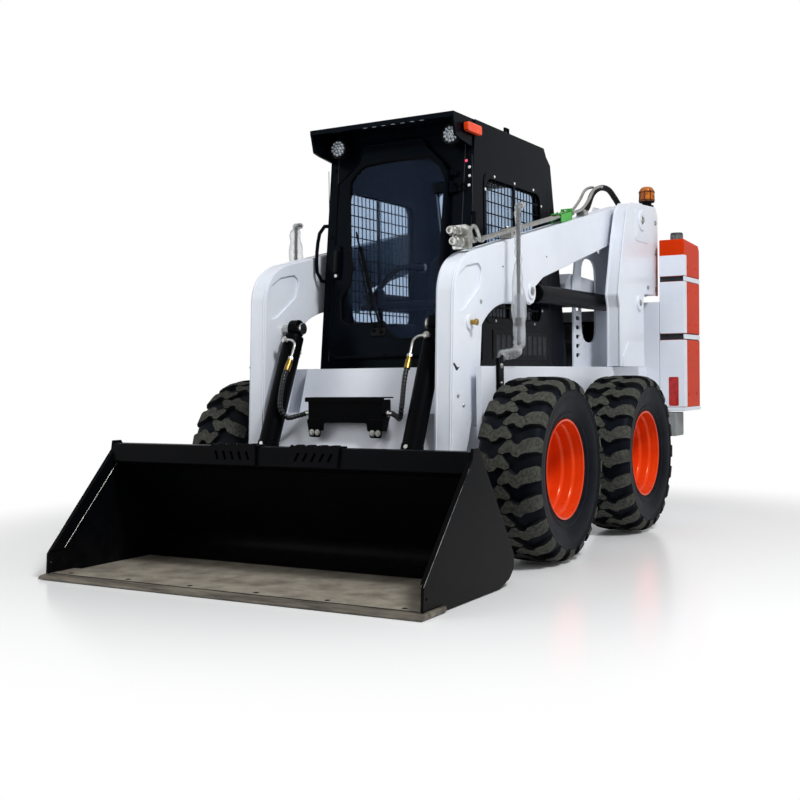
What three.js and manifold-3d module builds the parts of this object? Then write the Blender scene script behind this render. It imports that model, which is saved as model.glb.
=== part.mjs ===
// Skid steer loader: compact wheeled loader with a radial-lift arm and a bucket.
// Millimetres. +Z up, the machine faces -Y, its left side is +X.
// Longitudinal sizes run from the front axle; the last lines move the origin to the middle of the footprint.
import * as THREE from "three";
import { mergeVertices } from "three/addons/utils/BufferGeometryUtils.js";
import Module from "manifold-3d";

const wasm = await Module();
wasm.setup();

// ---------- driving dimensions ----------
const seat = 0.3; // gap left between pieces that touch
const pinPlay = 0.8; // radial play of a pin in its bore
const runGap = 6; // least gap between pieces that move past each other

const wheelbase = 1120;
const tyreRadius = 410;
const tyreWidth = 300;
const rimRadius = 222; // outside of the rim flange
const rimWidth = 236;
const hubRadius = 92;
const axleRadius = 38;

const cabHalf = 400;
const cabWall = 40;
const cabFootY = -4; // front foot of the cab
const cabHeadY = 132; // front head of the cab, leaning back
const cabRearFootY = 1262;
const cabRearHeadY = 985;
const roofZ = 1990; // underside of the roof
const roofThick = 40;
const visorReach = 208; // overhang in front of the cab's head

const bodyHalf = 430; // nose and inner upright plates
const plate = 12;
const armInner = 452;
const armWidth = 90;
const uprightInner = 570; // inside of the outer post
const postWidth = 80;
const fenderHalf = 600;
const chainCaseHalf = 590;
const chainCaseInner = 400;
const fenderInner = 380;

const bellyZ = 225;
const caseTopZ = 600;
const sillZ = 868;
const noseY = -200;
const tailY = 2045; // rear end of the side boxes

const pivot = [1810, 1725]; // lift pivot, Y and Z
const pivotPin = 30;
const armEndRadius = 98;
const liftBase = [1760, 1240]; // lower pin of the lift cylinder
const liftBasePin = 25;
const liftEye = [440, 1235]; // rod pin of the lift cylinder on the arm
const bucketPin = [-490, 180]; // hinge of the quick coupler
const bucketPinRadius = 22;
const tiltTop = [-235, 1060]; // upper pin of the tilt cylinder
const tiltEye = [-550, 330]; // rod pin of the tilt cylinder on the coupler
const tiltX = 380;
const tiltPin = 20;

const bucketHalf = 914;
const bucketPlate = 12;
const bucketFloorZ = 2; // clear of the ground
const bucketLipY = -1360;
const bucketHeel = [-580, 118]; // lower end of the flat back
const bucketCrest = [-875, 545]; // upper end of the flat back

const podWidth = 150;
const podDepth = 345;
const podFootZ = 600;
const podHeadZ = 1632;
const tailDepth = 280; // tail frame behind the side boxes
const tailHalf = 680;

const uprightOuter = uprightInner + postWidth;
const armOuter = armInner + armWidth;
const tyreInner = fenderHalf + 25;
const wheelX = tyreInner + tyreWidth / 2;
const discInset = 62; // wheel disc inboard of the wheel's middle
const housingRadius = 66;
const housingEnd = wheelX - discInset - 38;
const podInner = tailHalf + seat;
const podFrontY = tailY + runGap;
const podRearY = podFrontY + podDepth;
const pinSegments = 16;

// ---------- materials ----------
const paint = (color, roughness = 0.4, metalness = 0) =>
  new THREE.MeshStandardMaterial({ color, roughness, metalness });
const white = () => paint(0xe6e9ec, 0.35);
const black = () => paint(0x14161a, 0.4);
const orange = () => paint(0xe8400f, 0.35);
const rubber = () => paint(0x222224, 0.9);
const steel = () => paint(0xb9bcc0, 0.3, 1);
const glass = () => paint(0x1d2a38, 0.1);
const vinyl = () => paint(0x1b1b1d, 0.7);

// ---------- solids ----------
function solid(geometry) {
  const bare = geometry.index ? geometry.toNonIndexed() : geometry.clone();
  for (const name of Object.keys(bare.attributes))
    if (name !== "position") bare.deleteAttribute(name);
  const merged = mergeVertices(bare, 1e-3);
  return new wasm.Manifold(
    new wasm.Mesh({
      numProp: 3,
      vertProperties: new Float32Array(merged.attributes.position.array),
      triVerts: new Uint32Array(merged.index.array),
    }),
  );
}

function geometryOf(made) {
  const mesh = made.getMesh();
  const geometry = new THREE.BufferGeometry();
  geometry.setAttribute("position", new THREE.BufferAttribute(new Float32Array(mesh.vertProperties), 3));
  geometry.setIndex(new THREE.BufferAttribute(new Uint32Array(mesh.triVerts), 1));
  return geometry;
}

const join = (...parts) => parts.flat().reduce((all, part) => all.add(part));
const cut = (body, ...tools) => tools.flat().reduce((left, tool) => left.subtract(tool), body);

function box(x0, x1, y0, y1, z0, z1) {
  const geometry = new THREE.BoxGeometry(Math.abs(x1 - x0), Math.abs(y1 - y0), Math.abs(z1 - z0));
  geometry.translate((x0 + x1) / 2, (y0 + y1) / 2, (z0 + z1) / 2);
  return solid(geometry);
}

function shapeOf(outline) {
  if (outline instanceof THREE.Shape) return outline;
  return new THREE.Shape(outline.map(([u, v]) => new THREE.Vector2(u, v)));
}

// A side profile in Y and Z, extruded along X from x0 to x1.
function slab(outline, x0, x1, curveSegments = 2) {
  const low = Math.min(x0, x1);
  const geometry = new THREE.ExtrudeGeometry(shapeOf(outline), {
    depth: Math.abs(x1 - x0),
    bevelEnabled: false,
    curveSegments,
  });
  geometry.applyMatrix4(new THREE.Matrix4().set(0, 0, 1, low, 1, 0, 0, 0, 0, 1, 0, 0, 0, 0, 0, 1));
  return solid(geometry);
}

// A front outline in X and height, with its thickness along local Z.
function panel(outline, z0, z1) {
  const geometry = new THREE.ExtrudeGeometry(shapeOf(outline), {
    depth: z1 - z0,
    bevelEnabled: false,
    curveSegments: 2,
  });
  geometry.translate(0, 0, z0);
  return solid(geometry);
}

// A round bar along X at (y, z).
function barX(y, z, radius, x0, x1, segments = pinSegments) {
  const geometry = new THREE.CylinderGeometry(radius, radius, Math.abs(x1 - x0), segments);
  geometry.rotateZ(Math.PI / 2);
  geometry.translate((x0 + x1) / 2, y, z);
  return solid(geometry);
}

function barY(x, z, radius, y0, y1, segments = 12) {
  const geometry = new THREE.CylinderGeometry(radius, radius, Math.abs(y1 - y0), segments);
  geometry.translate(x, (y0 + y1) / 2, z);
  return solid(geometry);
}

function barZ(x, y, radius, z0, z1, segments = 12) {
  const geometry = new THREE.CylinderGeometry(radius, radius, Math.abs(z1 - z0), segments);
  geometry.rotateX(Math.PI / 2);
  geometry.translate(x, y, (z0 + z1) / 2);
  return solid(geometry);
}

// A round bar from one point to another.
function barBetween(from, to, radius, segments = 6) {
  const a = new THREE.Vector3(...from);
  const b = new THREE.Vector3(...to);
  const geometry = new THREE.CylinderGeometry(radius, radius, a.distanceTo(b), segments);
  const along = b.clone().sub(a).normalize();
  const turn = new THREE.Quaternion().setFromUnitVectors(new THREE.Vector3(0, 1, 0), along);
  geometry.applyQuaternion(turn);
  geometry.translate(...a.add(b).multiplyScalar(0.5).toArray());
  return solid(geometry);
}

// A round tube or hose through points, closed at both ends.
function tube(points, radius, steps, sides = 6) {
  const curve = new THREE.CatmullRomCurve3(points.map((p) => new THREE.Vector3(...p)), false, "centripetal");
  const section = new THREE.Shape();
  for (let i = 0; i < sides; i++) {
    const angle = (2 * Math.PI * i) / sides;
    const corner = [radius * Math.cos(angle), radius * Math.sin(angle)];
    if (i === 0) section.moveTo(...corner);
    else section.lineTo(...corner);
  }
  return solid(new THREE.ExtrudeGeometry(section, { steps, extrudePath: curve, bevelEnabled: false }));
}

// A profile of radius and X, turned round the X axis.
function turned(profile, segments) {
  const geometry = new THREE.LatheGeometry(profile.map(([r, x]) => new THREE.Vector2(r, x)), segments);
  geometry.rotateZ(-Math.PI / 2);
  const made = solid(geometry);
  return made.volume() < 0 ? solid(flipped(geometry)) : made;
}

function flipped(geometry) {
  const turnedRound = geometry.clone();
  const index = turnedRound.index.array;
  for (let i = 0; i < index.length; i += 3) [index[i + 1], index[i + 2]] = [index[i + 2], index[i + 1]];
  return turnedRound;
}

// An outline moved inwards by a wall thickness (convex, counter-clockwise).
function inset(outline, wall) {
  const edges = outline.map((p, i) => {
    const q = outline[(i + 1) % outline.length];
    const [dy, dz] = [q[0] - p[0], q[1] - p[1]];
    const length = Math.hypot(dy, dz);
    const inward = [-dz / length, dy / length];
    return { p: [p[0] + inward[0] * wall, p[1] + inward[1] * wall], d: [dy, dz] };
  });
  return edges.map((edge, i) => {
    const before = edges[(i + edges.length - 1) % edges.length];
    const cross = before.d[0] * edge.d[1] - before.d[1] * edge.d[0];
    const t = ((edge.p[0] - before.p[0]) * edge.d[1] - (edge.p[1] - before.p[1]) * edge.d[0]) / cross;
    return [before.p[0] + before.d[0] * t, before.p[1] + before.d[1] * t];
  });
}

function roundedRect(x0, x1, y0, y1, r) {
  const shape = new THREE.Shape();
  shape.moveTo(x0 + r, y0);
  shape.lineTo(x1 - r, y0);
  shape.absarc(x1 - r, y0 + r, r, -Math.PI / 2, 0);
  shape.lineTo(x1, y1 - r);
  shape.absarc(x1 - r, y1 - r, r, 0, Math.PI / 2);
  shape.lineTo(x0 + r, y1);
  shape.absarc(x0 + r, y1 - r, r, Math.PI / 2, Math.PI);
  shape.lineTo(x0, y0 + r);
  shape.absarc(x0 + r, y0 + r, r, Math.PI, 1.5 * Math.PI);
  return shape;
}

const machine = new THREE.Group();

function piece(name, made, material, parent = machine) {
  const geometry = made instanceof THREE.BufferGeometry ? made : geometryOf(made);
  const mesh = new THREE.Mesh(geometry, material);
  mesh.name = name;
  parent.add(mesh);
  return mesh;
}

const sides = [
  ["left", 1],
  ["right", -1],
];

// ---------- main frame ----------
const bulkheadY = 1188;
const engineFoot = [1350, 1850];
const bellyThick = 15;
const engineFootZ = bellyZ + bellyThick + 60;

function axleHousings() {
  return [0, wheelbase].flatMap((y) =>
    sides.map(([, s]) =>
      join(
        barX(y, tyreRadius, housingRadius, s * (chainCaseHalf - 1), s * housingEnd, 16),
        barX(y, tyreRadius, housingRadius + 22, s * (chainCaseHalf - 1), s * (chainCaseHalf + 14), 16),
      ),
    ),
  );
}

function axleBores() {
  const bore = (y, s) => barX(y, tyreRadius, axleRadius + pinPlay, s * (chainCaseHalf - 60), s * (housingEnd + 1));
  return [0, wheelbase].flatMap((y) => sides.map(([, s]) => bore(y, s)));
}

const noseHeadY = -112; // upper edge of the sloped nose
function nosePanel() {
  return slab(
    [
      [noseY - 1, caseTopZ - 21],
      [noseY + plate, caseTopZ - 21],
      [noseY + plate, caseTopZ + 22],
      [noseHeadY + 12, sillZ - 14],
      [cabFootY - 12, sillZ - 14],
      [cabFootY - 12, sillZ],
      [noseHeadY - 4, sillZ],
      [noseY - 1, caseTopZ + 26],
    ],
    -fenderInner - 20,
    fenderInner + 20,
  );
}

function mainFrame() {
  const half = (x0, x1, y0, y1, z0, z1) => sides.map(([, s]) => box(s * x0, s * x1, y0, y1, z0, z1));
  const body = join(
    axleHousings(),
    nosePanel(),
    box(-fenderInner - 1, fenderInner + 1, noseY + 1, bulkheadY + 1, caseTopZ - 12, caseTopZ), // cab floor
    box(-chainCaseInner - 1, chainCaseInner + 1, noseY, tailY, bellyZ, bellyZ + bellyThick),
    half(chainCaseInner, chainCaseHalf, noseY, wheelbase + 210, bellyZ, caseTopZ),
    half(fenderInner, fenderHalf, -90, tailY, caseTopZ - 1, sillZ),
    half(fenderInner, fenderHalf, wheelbase + 470, tailY, 420, caseTopZ),
    half(575, fenderHalf, -240, -89, 560, sillZ),
    half(fenderInner, chainCaseInner + 1, wheelbase + 209, tailY, bellyZ, caseTopZ),
    box(-chainCaseInner - 1, chainCaseInner + 1, noseY, noseY + plate, bellyZ, caseTopZ - 20),
    box(-fenderInner - 1, fenderInner + 1, bulkheadY, bulkheadY + plate, bellyZ, sillZ - 4),
    engineFoot.map((y) => box(-fenderInner - 1, fenderInner + 1, y, y + 60, bellyZ, engineFootZ)),
  );
  return cut(body, axleBores());
}
piece("main_frame", mainFrame(), white());

const engineTopZ = 1020;
piece(
  "engine_block",
  box(-280, 280, 1290, 1960, engineFootZ + seat, engineTopZ),
  paint(0x3a3d3f, 0.6, 0.4),
);

// ---------- wheels ----------
// Wheel solids stand round the X axis at the origin, with the outside towards +X.
const wheelSegments = 20; // the tyre and its rim share their facets
function tyreSolid() {
  const [w, bead] = [tyreWidth / 2, rimRadius - 12];
  const profile = [
    [bead + seat, -rimWidth / 2 + 14],
    [bead + seat, rimWidth / 2 - 14],
    [rimRadius + 40, w],
    [tyreRadius - 50, w],
    [tyreRadius, w - 40],
    [tyreRadius, -w + 40],
    [tyreRadius - 50, -w],
    [rimRadius + 40, -w],
  ];
  return turned([...profile, profile[0]], wheelSegments);
}

function rimSolid() {
  const [w, barrel, wall] = [rimWidth / 2, rimRadius - 12, 7];
  const disc = -discInset;
  const profile = [
    [0, disc - 14],
    [hubRadius, disc - 14],
    [hubRadius, disc - 6],
    [barrel - wall, disc - 6],
    [rimRadius - wall, -w],
    [rimRadius, -w],
    [barrel, -w + 12],
    [barrel, w - 12],
    [rimRadius, w],
    [rimRadius - wall, w],
    [barrel - wall, disc + 8],
    [hubRadius, disc + 8],
    [hubRadius, disc + 20],
    [0, disc + 20],
  ];
  const reach = wheelX - discInset - (chainCaseHalf + 8);
  return join(turned(profile, wheelSegments), barX(0, 0, axleRadius, disc - 10, disc - reach));
}

const tyreGeometry = geometryOf(tyreSolid());
const rimGeometry = geometryOf(rimSolid());
for (const [end, y] of [["front", 0], ["rear", wheelbase]]) {
  for (const [name, s] of sides) {
    const wheel = new THREE.Group();
    wheel.position.set(s * wheelX, y, tyreRadius);
    if (s < 0) wheel.rotation.z = Math.PI;
    machine.add(wheel);
    piece(`tyre_${end}_${name}`, tyreGeometry, rubber(), wheel);
    piece(`rim_${end}_${name}`, rimGeometry, orange(), wheel);
  }
}

// ---------- uprights ----------
const hoodPin = [1330, 1296]; // front pivots of the engine hood
const hoodPinRadius = 10;
const postBreakZ = 1300; // the post is deeper above this height
const postHead = [2085, 1836]; // rear and front ends of the post's top
const postBrow = [1640, 1812];
function innerPlate(s) {
  const outline = [
    [1290, sillZ + seat],
    [2035, sillZ + seat],
    [2035, 1812],
    [1640, 1800],
    [1340, 1520],
    [1290, 1330],
  ];
  const hole = roundedRect(1410, 1640, 1010, 1490, 100);
  const slots = [0, 1, 2, 3, 4, 5].map((i) => box(s * 400, s * 440, 1325, 1385, 925 + i * 52, 947 + i * 52));
  return cut(
    slab(outline, s * (bodyHalf - plate), s * bodyHalf),
    slab(hole, s * 400, s * 440),
    slots,
    barX(...hoodPin, hoodPinRadius + pinPlay, s * 400, s * 440),
  );
}

function outerPost(s) {
  const outline = [
    [1432, sillZ + seat],
    [1850, sillZ + seat],
    [1850, postBreakZ - 20],
    [1880, postBreakZ],
    [2130, postBreakZ],
    [2130, 1790],
    postHead,
    postBrow,
    [1566, 1770],
    [1500, 1600],
    [1405, 1270],
    [1432, 1200],
  ];
  return slab(outline, s * uprightInner, s * uprightOuter);
}

for (const [name, s] of sides) {
  const made = join(
    innerPlate(s),
    outerPost(s),
    box(s * (bodyHalf - 1), s * (uprightInner + 1), 2020, 2035, sillZ + seat, 1780),
    barX(...pivot, pivotPin, s * (bodyHalf - plate), s * uprightOuter),
    barX(...pivot, pivotPin + 30, s * (uprightOuter - 1), s * (uprightOuter + 12)),
    barX(...liftBase, liftBasePin, s * (bodyHalf - plate), s * uprightOuter),
    barX(...liftBase, liftBasePin + 20, s * (uprightOuter - 1), s * (uprightOuter + 10)),
  );
  piece(`${name}_upright`, made, white());
}

// ---------- lift arms ----------
const eyeSlot = 60; // width of the slot for a rod eye
const armMid = (armInner + armOuter) / 2;
const toeRadius = 58;

const beamTopAngle = THREE.MathUtils.degToRad(102.8);
function armOutline() {
  const [py, pz] = pivot;
  const shape = new THREE.Shape();
  const lowAngle = THREE.MathUtils.degToRad(-75.6);
  shape.moveTo(-171, 1380); // top of the knee
  shape.quadraticCurveTo(-360, 1342, -378, 1190); // rounded knee
  shape.lineTo(-410, 540); // front of the leg
  shape.quadraticCurveTo(-425, 380, bucketPin[0] - toeRadius * 0.94, bucketPin[1] + toeRadius * 0.5);
  shape.absarc(bucketPin[0], bucketPin[1], toeRadius, Math.PI * 0.85, Math.PI * 1.85, false);
  shape.lineTo(-255, 420); // back of the leg
  shape.lineTo(-242, 560);
  shape.lineTo(-124, 872);
  shape.lineTo(-104, 1050);
  shape.quadraticCurveTo(20, 1165, 230, 1166); // arch
  shape.lineTo(400, 1176);
  shape.absarc(liftEye[0], liftEye[1], 66, -Math.PI * 0.62, Math.PI * 0.12, false);
  shape.lineTo(600, 1311); // underside of the beam
  shape.absarc(py, pz, armEndRadius, lowAngle, beamTopAngle, false);
  shape.closePath();
  return shape;
}

function liftArm(s) {
  const tiltPinEnd = tiltX - 36;
  const blank = join(
    slab(armOutline(), s * armInner, s * armOuter, 4),
    barX(...tiltTop, tiltPin, s * (armInner + 1), s * (tiltPinEnd - 2)), // upper tilt pin
    barX(...tiltTop, tiltPin + 7, s * tiltPinEnd, s * (tiltPinEnd - 8)),
    barX(...tiltTop, tiltPin + 14, s * (armOuter - 1), s * (armOuter + 9)),
    barX(...bucketPin, bucketPinRadius, s * (armInner + 1), s * (armInner - 34)),
    barX(...bucketPin, bucketPinRadius, s * (armOuter - 1), s * (armOuter + 32)),
    barX(...liftEye, 38, s * (armOuter - 1), s * (armOuter + 8)),
  );
  const [slot0, slot1] = [armMid - eyeSlot / 2, armMid + eyeSlot / 2];
  return cut(
    blank,
    barX(...pivot, pivotPin + pinPlay, s * (armInner - 1), s * (armOuter + 1)),
    box(s * slot0, s * slot1, liftEye[0] - 62, liftEye[0] + 120, 1100, liftEye[1] + 62),
  );
}
for (const [name, s] of sides) piece(`${name}_lift_arm`, liftArm(s), white());

// Plate between the legs, which ties the two arms.
const crossTopZ = 662;
const crossLean = 0.432; // run of its front face for each unit of drop
const crossFrontY = (z) => -322 - (crossTopZ - z) * crossLean;
function crossMember() {
  const outline = [
    [-282, crossTopZ],
    [crossFrontY(crossTopZ), crossTopZ],
    [crossFrontY(486), 486],
    [-392, 452],
    [-300, 452],
    [-262, 560],
  ];
  return slab(outline, -armInner + seat, armInner - seat);
}
piece("arm_cross_member", crossMember(), white());

const stepHalf = 210;
const stepTopZ = 738;
function frontStep() {
  const bracket = [
    [crossFrontY(crossTopZ) - seat - 0.1, crossTopZ],
    [crossFrontY(crossTopZ) - seat - 0.1, stepTopZ - 10],
    [-400, stepTopZ - 10],
    [-400, 640],
    [-408, 560],
    [crossFrontY(558) - seat - 0.1, 558],
  ];
  const foot = box(-stepHalf + 90, stepHalf - 90, -450, -300, 500, 610);
  return join(
    cut(slab(bracket, -stepHalf + 12, stepHalf - 12), foot),
    box(-stepHalf, stepHalf, -415, -325, stepTopZ - 12, stepTopZ),
  );
}
piece("front_step", frontStep(), black());

// Hydraulic lines along the left arm: coupler block, tubes and clamp.
const kneeTop = [-171, 1380]; // where the top of the beam meets the knee
const beamEndTop = [
  pivot[0] + armEndRadius * Math.cos(beamTopAngle),
  pivot[1] + armEndRadius * Math.sin(beamTopAngle),
];
const beamRise = (beamEndTop[1] - kneeTop[1]) / (beamEndTop[0] - kneeTop[0]);
const armTop = (y) => kneeTop[1] + (y - kneeTop[0]) * beamRise;
function couplerBlock() {
  const y = -215;
  return join(
    box(armMid - 42, armMid + 42, y - 8, y + 38, 1381, 1490),
    barY(armMid - 6, 1458, 22, y - 95, y),
    barY(armMid - 6, 1408, 22, y - 95, y),
  );
}
function armTopFoot() {
  return slab([[-190, 1384], [-150, 1385.4], [-150, 1430], [-190, 1430]], armMid - 24, armMid + 24);
}

const tubeEndY = 1090;
function armTubes() {
  const lift = 34;
  const line = (x) => barBetween([x, -168, armTop(-168) + lift], [x, tubeEndY, armTop(tubeEndY) + lift], 9);
  const clamp = (y, length) =>
    slab(
      [
        [y, armTop(y) + 1],
        [y + length, armTop(y + length) + 1],
        [y + length, armTop(y + length) + lift + 16],
        [y, armTop(y) + lift + 16],
      ],
      armMid - 30,
      armMid + 30,
    );
  const lines = [line(armMid - 18), line(armMid + 18)];
  return join(couplerBlock(), armTopFoot(), lines, clamp(250, 30), clamp(880, 150));
}
piece("hose_coupler", armTubes(), steel());

function pivotHose() {
  const x = armMid;
  return join(
    tube(
      [
        [x, 1240, armTop(1240) + 20],
        [x, 1330, armTop(1330) + 34],
        [x, 1420, armTop(1420) + 104],
        [x, 1540, 1892],
        [x, 1680, 1902],
        [x, 1790, 1868],
        [x, 1850, 1842],
      ],
      17,
      14,
    ),
    slab(
      [
        [1230, armTop(1230) + 1],
        [1290, armTop(1290) + 1],
        [1290, armTop(1290) + 24],
        [1230, armTop(1230) + 24],
      ],
      x - 24,
      x + 24,
    ),
  );
}
piece("pivot_hose", pivotHose(), rubber());

// ---------- hydraulic cylinders ----------
// Local +Z runs from the base pin to the rod's eye.
function cylinderPair(name, s, x, base, eye, size) {
  const [dy, dz] = [eye[0] - base[0], eye[1] - base[1]];
  const length = Math.hypot(dy, dz);
  const ram = new THREE.Group();
  ram.position.set(s * x, base[0], base[1]);
  ram.rotation.x = Math.atan2(-dy, dz);
  machine.add(ram);
  const half = size.eyeWidth / 2;
  const barrel = cut(
    join(
      barZ(0, 0, size.radius, size.neck, size.barrelEnd),
      barX(0, 0, size.eyeRadius, -half, half, 12),
      box(-half, half, -size.radius * 0.7, size.radius * 0.7, 0, size.neck + 2),
    ),
    barX(0, 0, size.pin + pinPlay, -half - 1, half + 1),
    barZ(0, 0, size.rod + pinPlay, size.neck + 30, size.barrelEnd + 1),
  );
  const rod = cut(
    join(
      barZ(0, 0, size.rod, size.tail, length - 10),
      barX(0, length, size.rodEye, -size.rodEyeWidth / 2, size.rodEyeWidth / 2, 12),
    ),
    barX(0, length, size.pin, -size.rodEyeWidth, size.rodEyeWidth, 12),
  );
  piece(`${name}_barrel`, barrel, black(), ram);
  piece(`${name}_rod`, rod, steel(), ram);
}

const liftSize = {
  radius: 50,
  neck: 52,
  barrelEnd: 1180,
  eyeWidth: 60,
  eyeRadius: 48,
  pin: liftBasePin,
  rod: 25,
  tail: 100,
  rodEye: 44,
  rodEyeWidth: 50,
};
const tiltSize = {
  radius: 50,
  neck: 40,
  barrelEnd: 640,
  eyeWidth: 44,
  eyeRadius: 42,
  pin: tiltPin,
  rod: 22,
  tail: 140,
  rodEye: 36,
  rodEyeWidth: 46,
};
for (const [name, s] of sides) {
  cylinderPair(`${name}_lift`, s, armMid, liftBase, liftEye, liftSize);
  cylinderPair(`${name}_tilt`, s, tiltX, tiltTop, tiltEye, tiltSize);
}

// ---------- quick coupler and bucket ----------
const [backY, backZ] = [bucketCrest[0] - bucketHeel[0], bucketCrest[1] - bucketHeel[1]];
const backLength = Math.hypot(backY, backZ);
const up = [backY / backLength, backZ / backLength]; // along the bucket's back
const out = [up[1], -up[0]]; // off the back, towards the machine
const onBack = (along, off) => [
  bucketHeel[0] + up[0] * along + out[0] * off,
  bucketHeel[1] + up[1] * along + out[1] * off,
];

const couplerHalf = 566;
const couplerHigh = 400;
const couplerThick = 16;
function ear(centre, radius, along0, along1, x0, x1) {
  const foot0 = onBack(along0, couplerThick);
  const foot1 = onBack(along1, couplerThick);
  const tip0 = [centre[0] - up[0] * radius, centre[1] - up[1] * radius];
  const tip1 = [centre[0] + up[0] * radius, centre[1] + up[1] * radius];
  return join(slab([foot0, tip0, tip1, foot1], x0, x1), barX(...centre, radius, x0, x1, 12));
}
function quickCoupler() {
  const back = slab(
    [
      onBack(8, seat),
      onBack(8, couplerThick + 1),
      onBack(couplerHigh, couplerThick + 1),
      onBack(couplerHigh, seat),
    ],
    -couplerHalf,
    couplerHalf,
  );
  const ears = sides.flatMap(([, s]) => [
    ear(bucketPin, 44, 10, 130, s * (armInner - runGap), s * (armInner - 26)),
    ear(bucketPin, 44, 10, 130, s * (armOuter + runGap + 4), s * (armOuter + 24)),
    ear(tiltEye, 36, 110, 300, s * (tiltX + 28), s * (tiltX + 40)),
    ear(tiltEye, 36, 110, 300, s * (tiltX - 28), s * (tiltX - 40)),
  ]);
  return cut(
    join(back, ears),
    barX(...bucketPin, bucketPinRadius + pinPlay, -couplerHalf - 1, couplerHalf + 1),
  );
}
piece("quick_coupler", quickCoupler(), black());

const shellHalf = bucketHalf - 2 * bucketPlate;
const edgeDepth = 180;
const edgeThick = 20;
// Outside of the bucket's bottom, from the floor round the heel to the flat back.
const bucketBelly = [
  [bucketHeel[0] - 137, bucketFloorZ],
  [bucketHeel[0] - 44, bucketFloorZ + 26],
  [bucketHeel[0] - 8, bucketFloorZ + 58],
  bucketHeel,
];
function bucketShell() {
  const t = bucketPlate;
  const outline = [
    [bucketLipY + edgeDepth + seat, bucketFloorZ],
    ...bucketBelly,
    bucketCrest,
    [bucketCrest[0] - 62, bucketCrest[1]],
    [bucketCrest[0] - 78, bucketCrest[1] - 82],
    onBack(backLength - 70, -t),
    onBack(0, -t),
    [bucketHeel[0] - 8 - t, bucketFloorZ + 62],
    [bucketHeel[0] - 50, bucketFloorZ + 26 + t],
    [bucketHeel[0] - 139, bucketFloorZ + t],
    [bucketLipY + edgeDepth + seat, bucketFloorZ + t],
  ];
  return slab(outline, -shellHalf + seat, shellHalf - seat);
}
piece("bucket_shell", bucketShell(), black());

piece(
  "bucket_cutting_edge",
  slab(
    [
      [bucketLipY, bucketFloorZ],
      [bucketLipY + edgeDepth, bucketFloorZ],
      [bucketLipY + edgeDepth, bucketFloorZ + edgeThick],
      [bucketLipY + 8, bucketFloorZ + edgeThick],
    ],
    -bucketHalf,
    bucketHalf,
  ),
  paint(0x6b6358, 0.7, 0.5),
);

function bucketSide(s) {
  const outline = [
    [bucketLipY + 32, bucketFloorZ + edgeThick + seat],
    [bucketLipY + edgeDepth + seat, bucketFloorZ + edgeThick + seat],
    [bucketLipY + edgeDepth + seat, bucketFloorZ],
    ...bucketBelly,
    bucketCrest,
    [bucketCrest[0] - 52, bucketCrest[1] + 2],
    [bucketCrest[0] - 64, bucketCrest[1] - 26],
    [bucketLipY + 38, 104],
  ];
  return slab(outline, s * shellHalf, s * (shellHalf + bucketPlate));
}
for (const [name, s] of sides) piece(`bucket_side_${name}`, bucketSide(s), black());

// ---------- cab ----------
const lean = Math.atan2(cabHeadY - cabFootY, roofZ - sillZ); // the front leans back
const cabShoulder = [1040, 1950]; // top of the rear wall
const cabOutline = [
  [cabFootY, sillZ + seat],
  [cabRearFootY, sillZ + seat],
  cabShoulder,
  [cabRearHeadY, roofZ],
  [cabHeadY, roofZ],
];
const frontPlane = new THREE.Group(); // local X is X, local Y runs up the front, local Z faces forwards
frontPlane.position.set(0, cabFootY, sillZ);
frontPlane.rotation.x = Math.PI / 2 - lean;
machine.add(frontPlane);
frontPlane.updateMatrix();
const onFront = (made) => made.transform([...frontPlane.matrix.elements]);
const frontAt = (z) => cabFootY + (z - sillZ) * Math.tan(lean); // Y of the cab's front at a height

const doorLeft = 286; // hinge edge
const doorRight = -338;
const doorFoot = 46;
const doorHead = 1104;
const doorThick = 30;
const doorGap = 6;
const hingeZ = doorGap + doorThick / 2;
const hingeX = doorLeft + 14;
const hingeAt = [190, 850]; // lower ends of the two door hinges
const hingeLong = 56;

// The door's upper corners slope, so that it swings clear of the work lights.
const doorOutline = [
  [doorRight, 925],
  [doorRight, doorFoot + 44],
  [doorRight + 14, doorFoot + 14],
  [doorRight + 44, doorFoot],
  [doorLeft - 44, doorFoot],
  [doorLeft - 14, doorFoot + 14],
  [doorLeft, doorFoot + 44],
  [doorLeft, 922],
  [258, 972],
  [202, 1028],
  [168, 1058],
  [138, doorHead],
  [doorRight + 168, doorHead],
  [doorRight + 136, 1084],
  [doorRight + 116, 1022],
  [doorRight + 76, 984],
];

function doorHole() {
  return onFront(panel(inset(doorOutline, 32), -cabWall - 30, 30));
}

function grabHandles() {
  const body = slab(cabOutline, -cabHalf + 1, cabHalf - 1);
  return sides.map(([, s]) => {
    const grip = tube(
      [
        [s * (cabHalf - 12), frontAt(1588) + 32, 1588],
        [s * (cabHalf + 14), frontAt(1588) + 2, 1588],
        [s * (cabHalf + 28), frontAt(1588) - 30, 1556],
        [s * (cabHalf + 28), frontAt(1352) - 30, 1340],
        [s * (cabHalf + 14), frontAt(1304) + 2, 1304],
        [s * (cabHalf - 12), frontAt(1304) + 32, 1304],
      ],
      10,
      8,
    );
    return largest(grip.subtract(body));
  });
}

// The largest piece left after a cut.
function largest(made) {
  return made.decompose().reduce((a, b) => (a.volume() > b.volume() ? a : b));
}

const sideWindow = [240, 890, 1105, 1775]; // front, rear, foot and head
const rearWindowHalf = 290;
const rearWindowZ = [1420, 1860];

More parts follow.
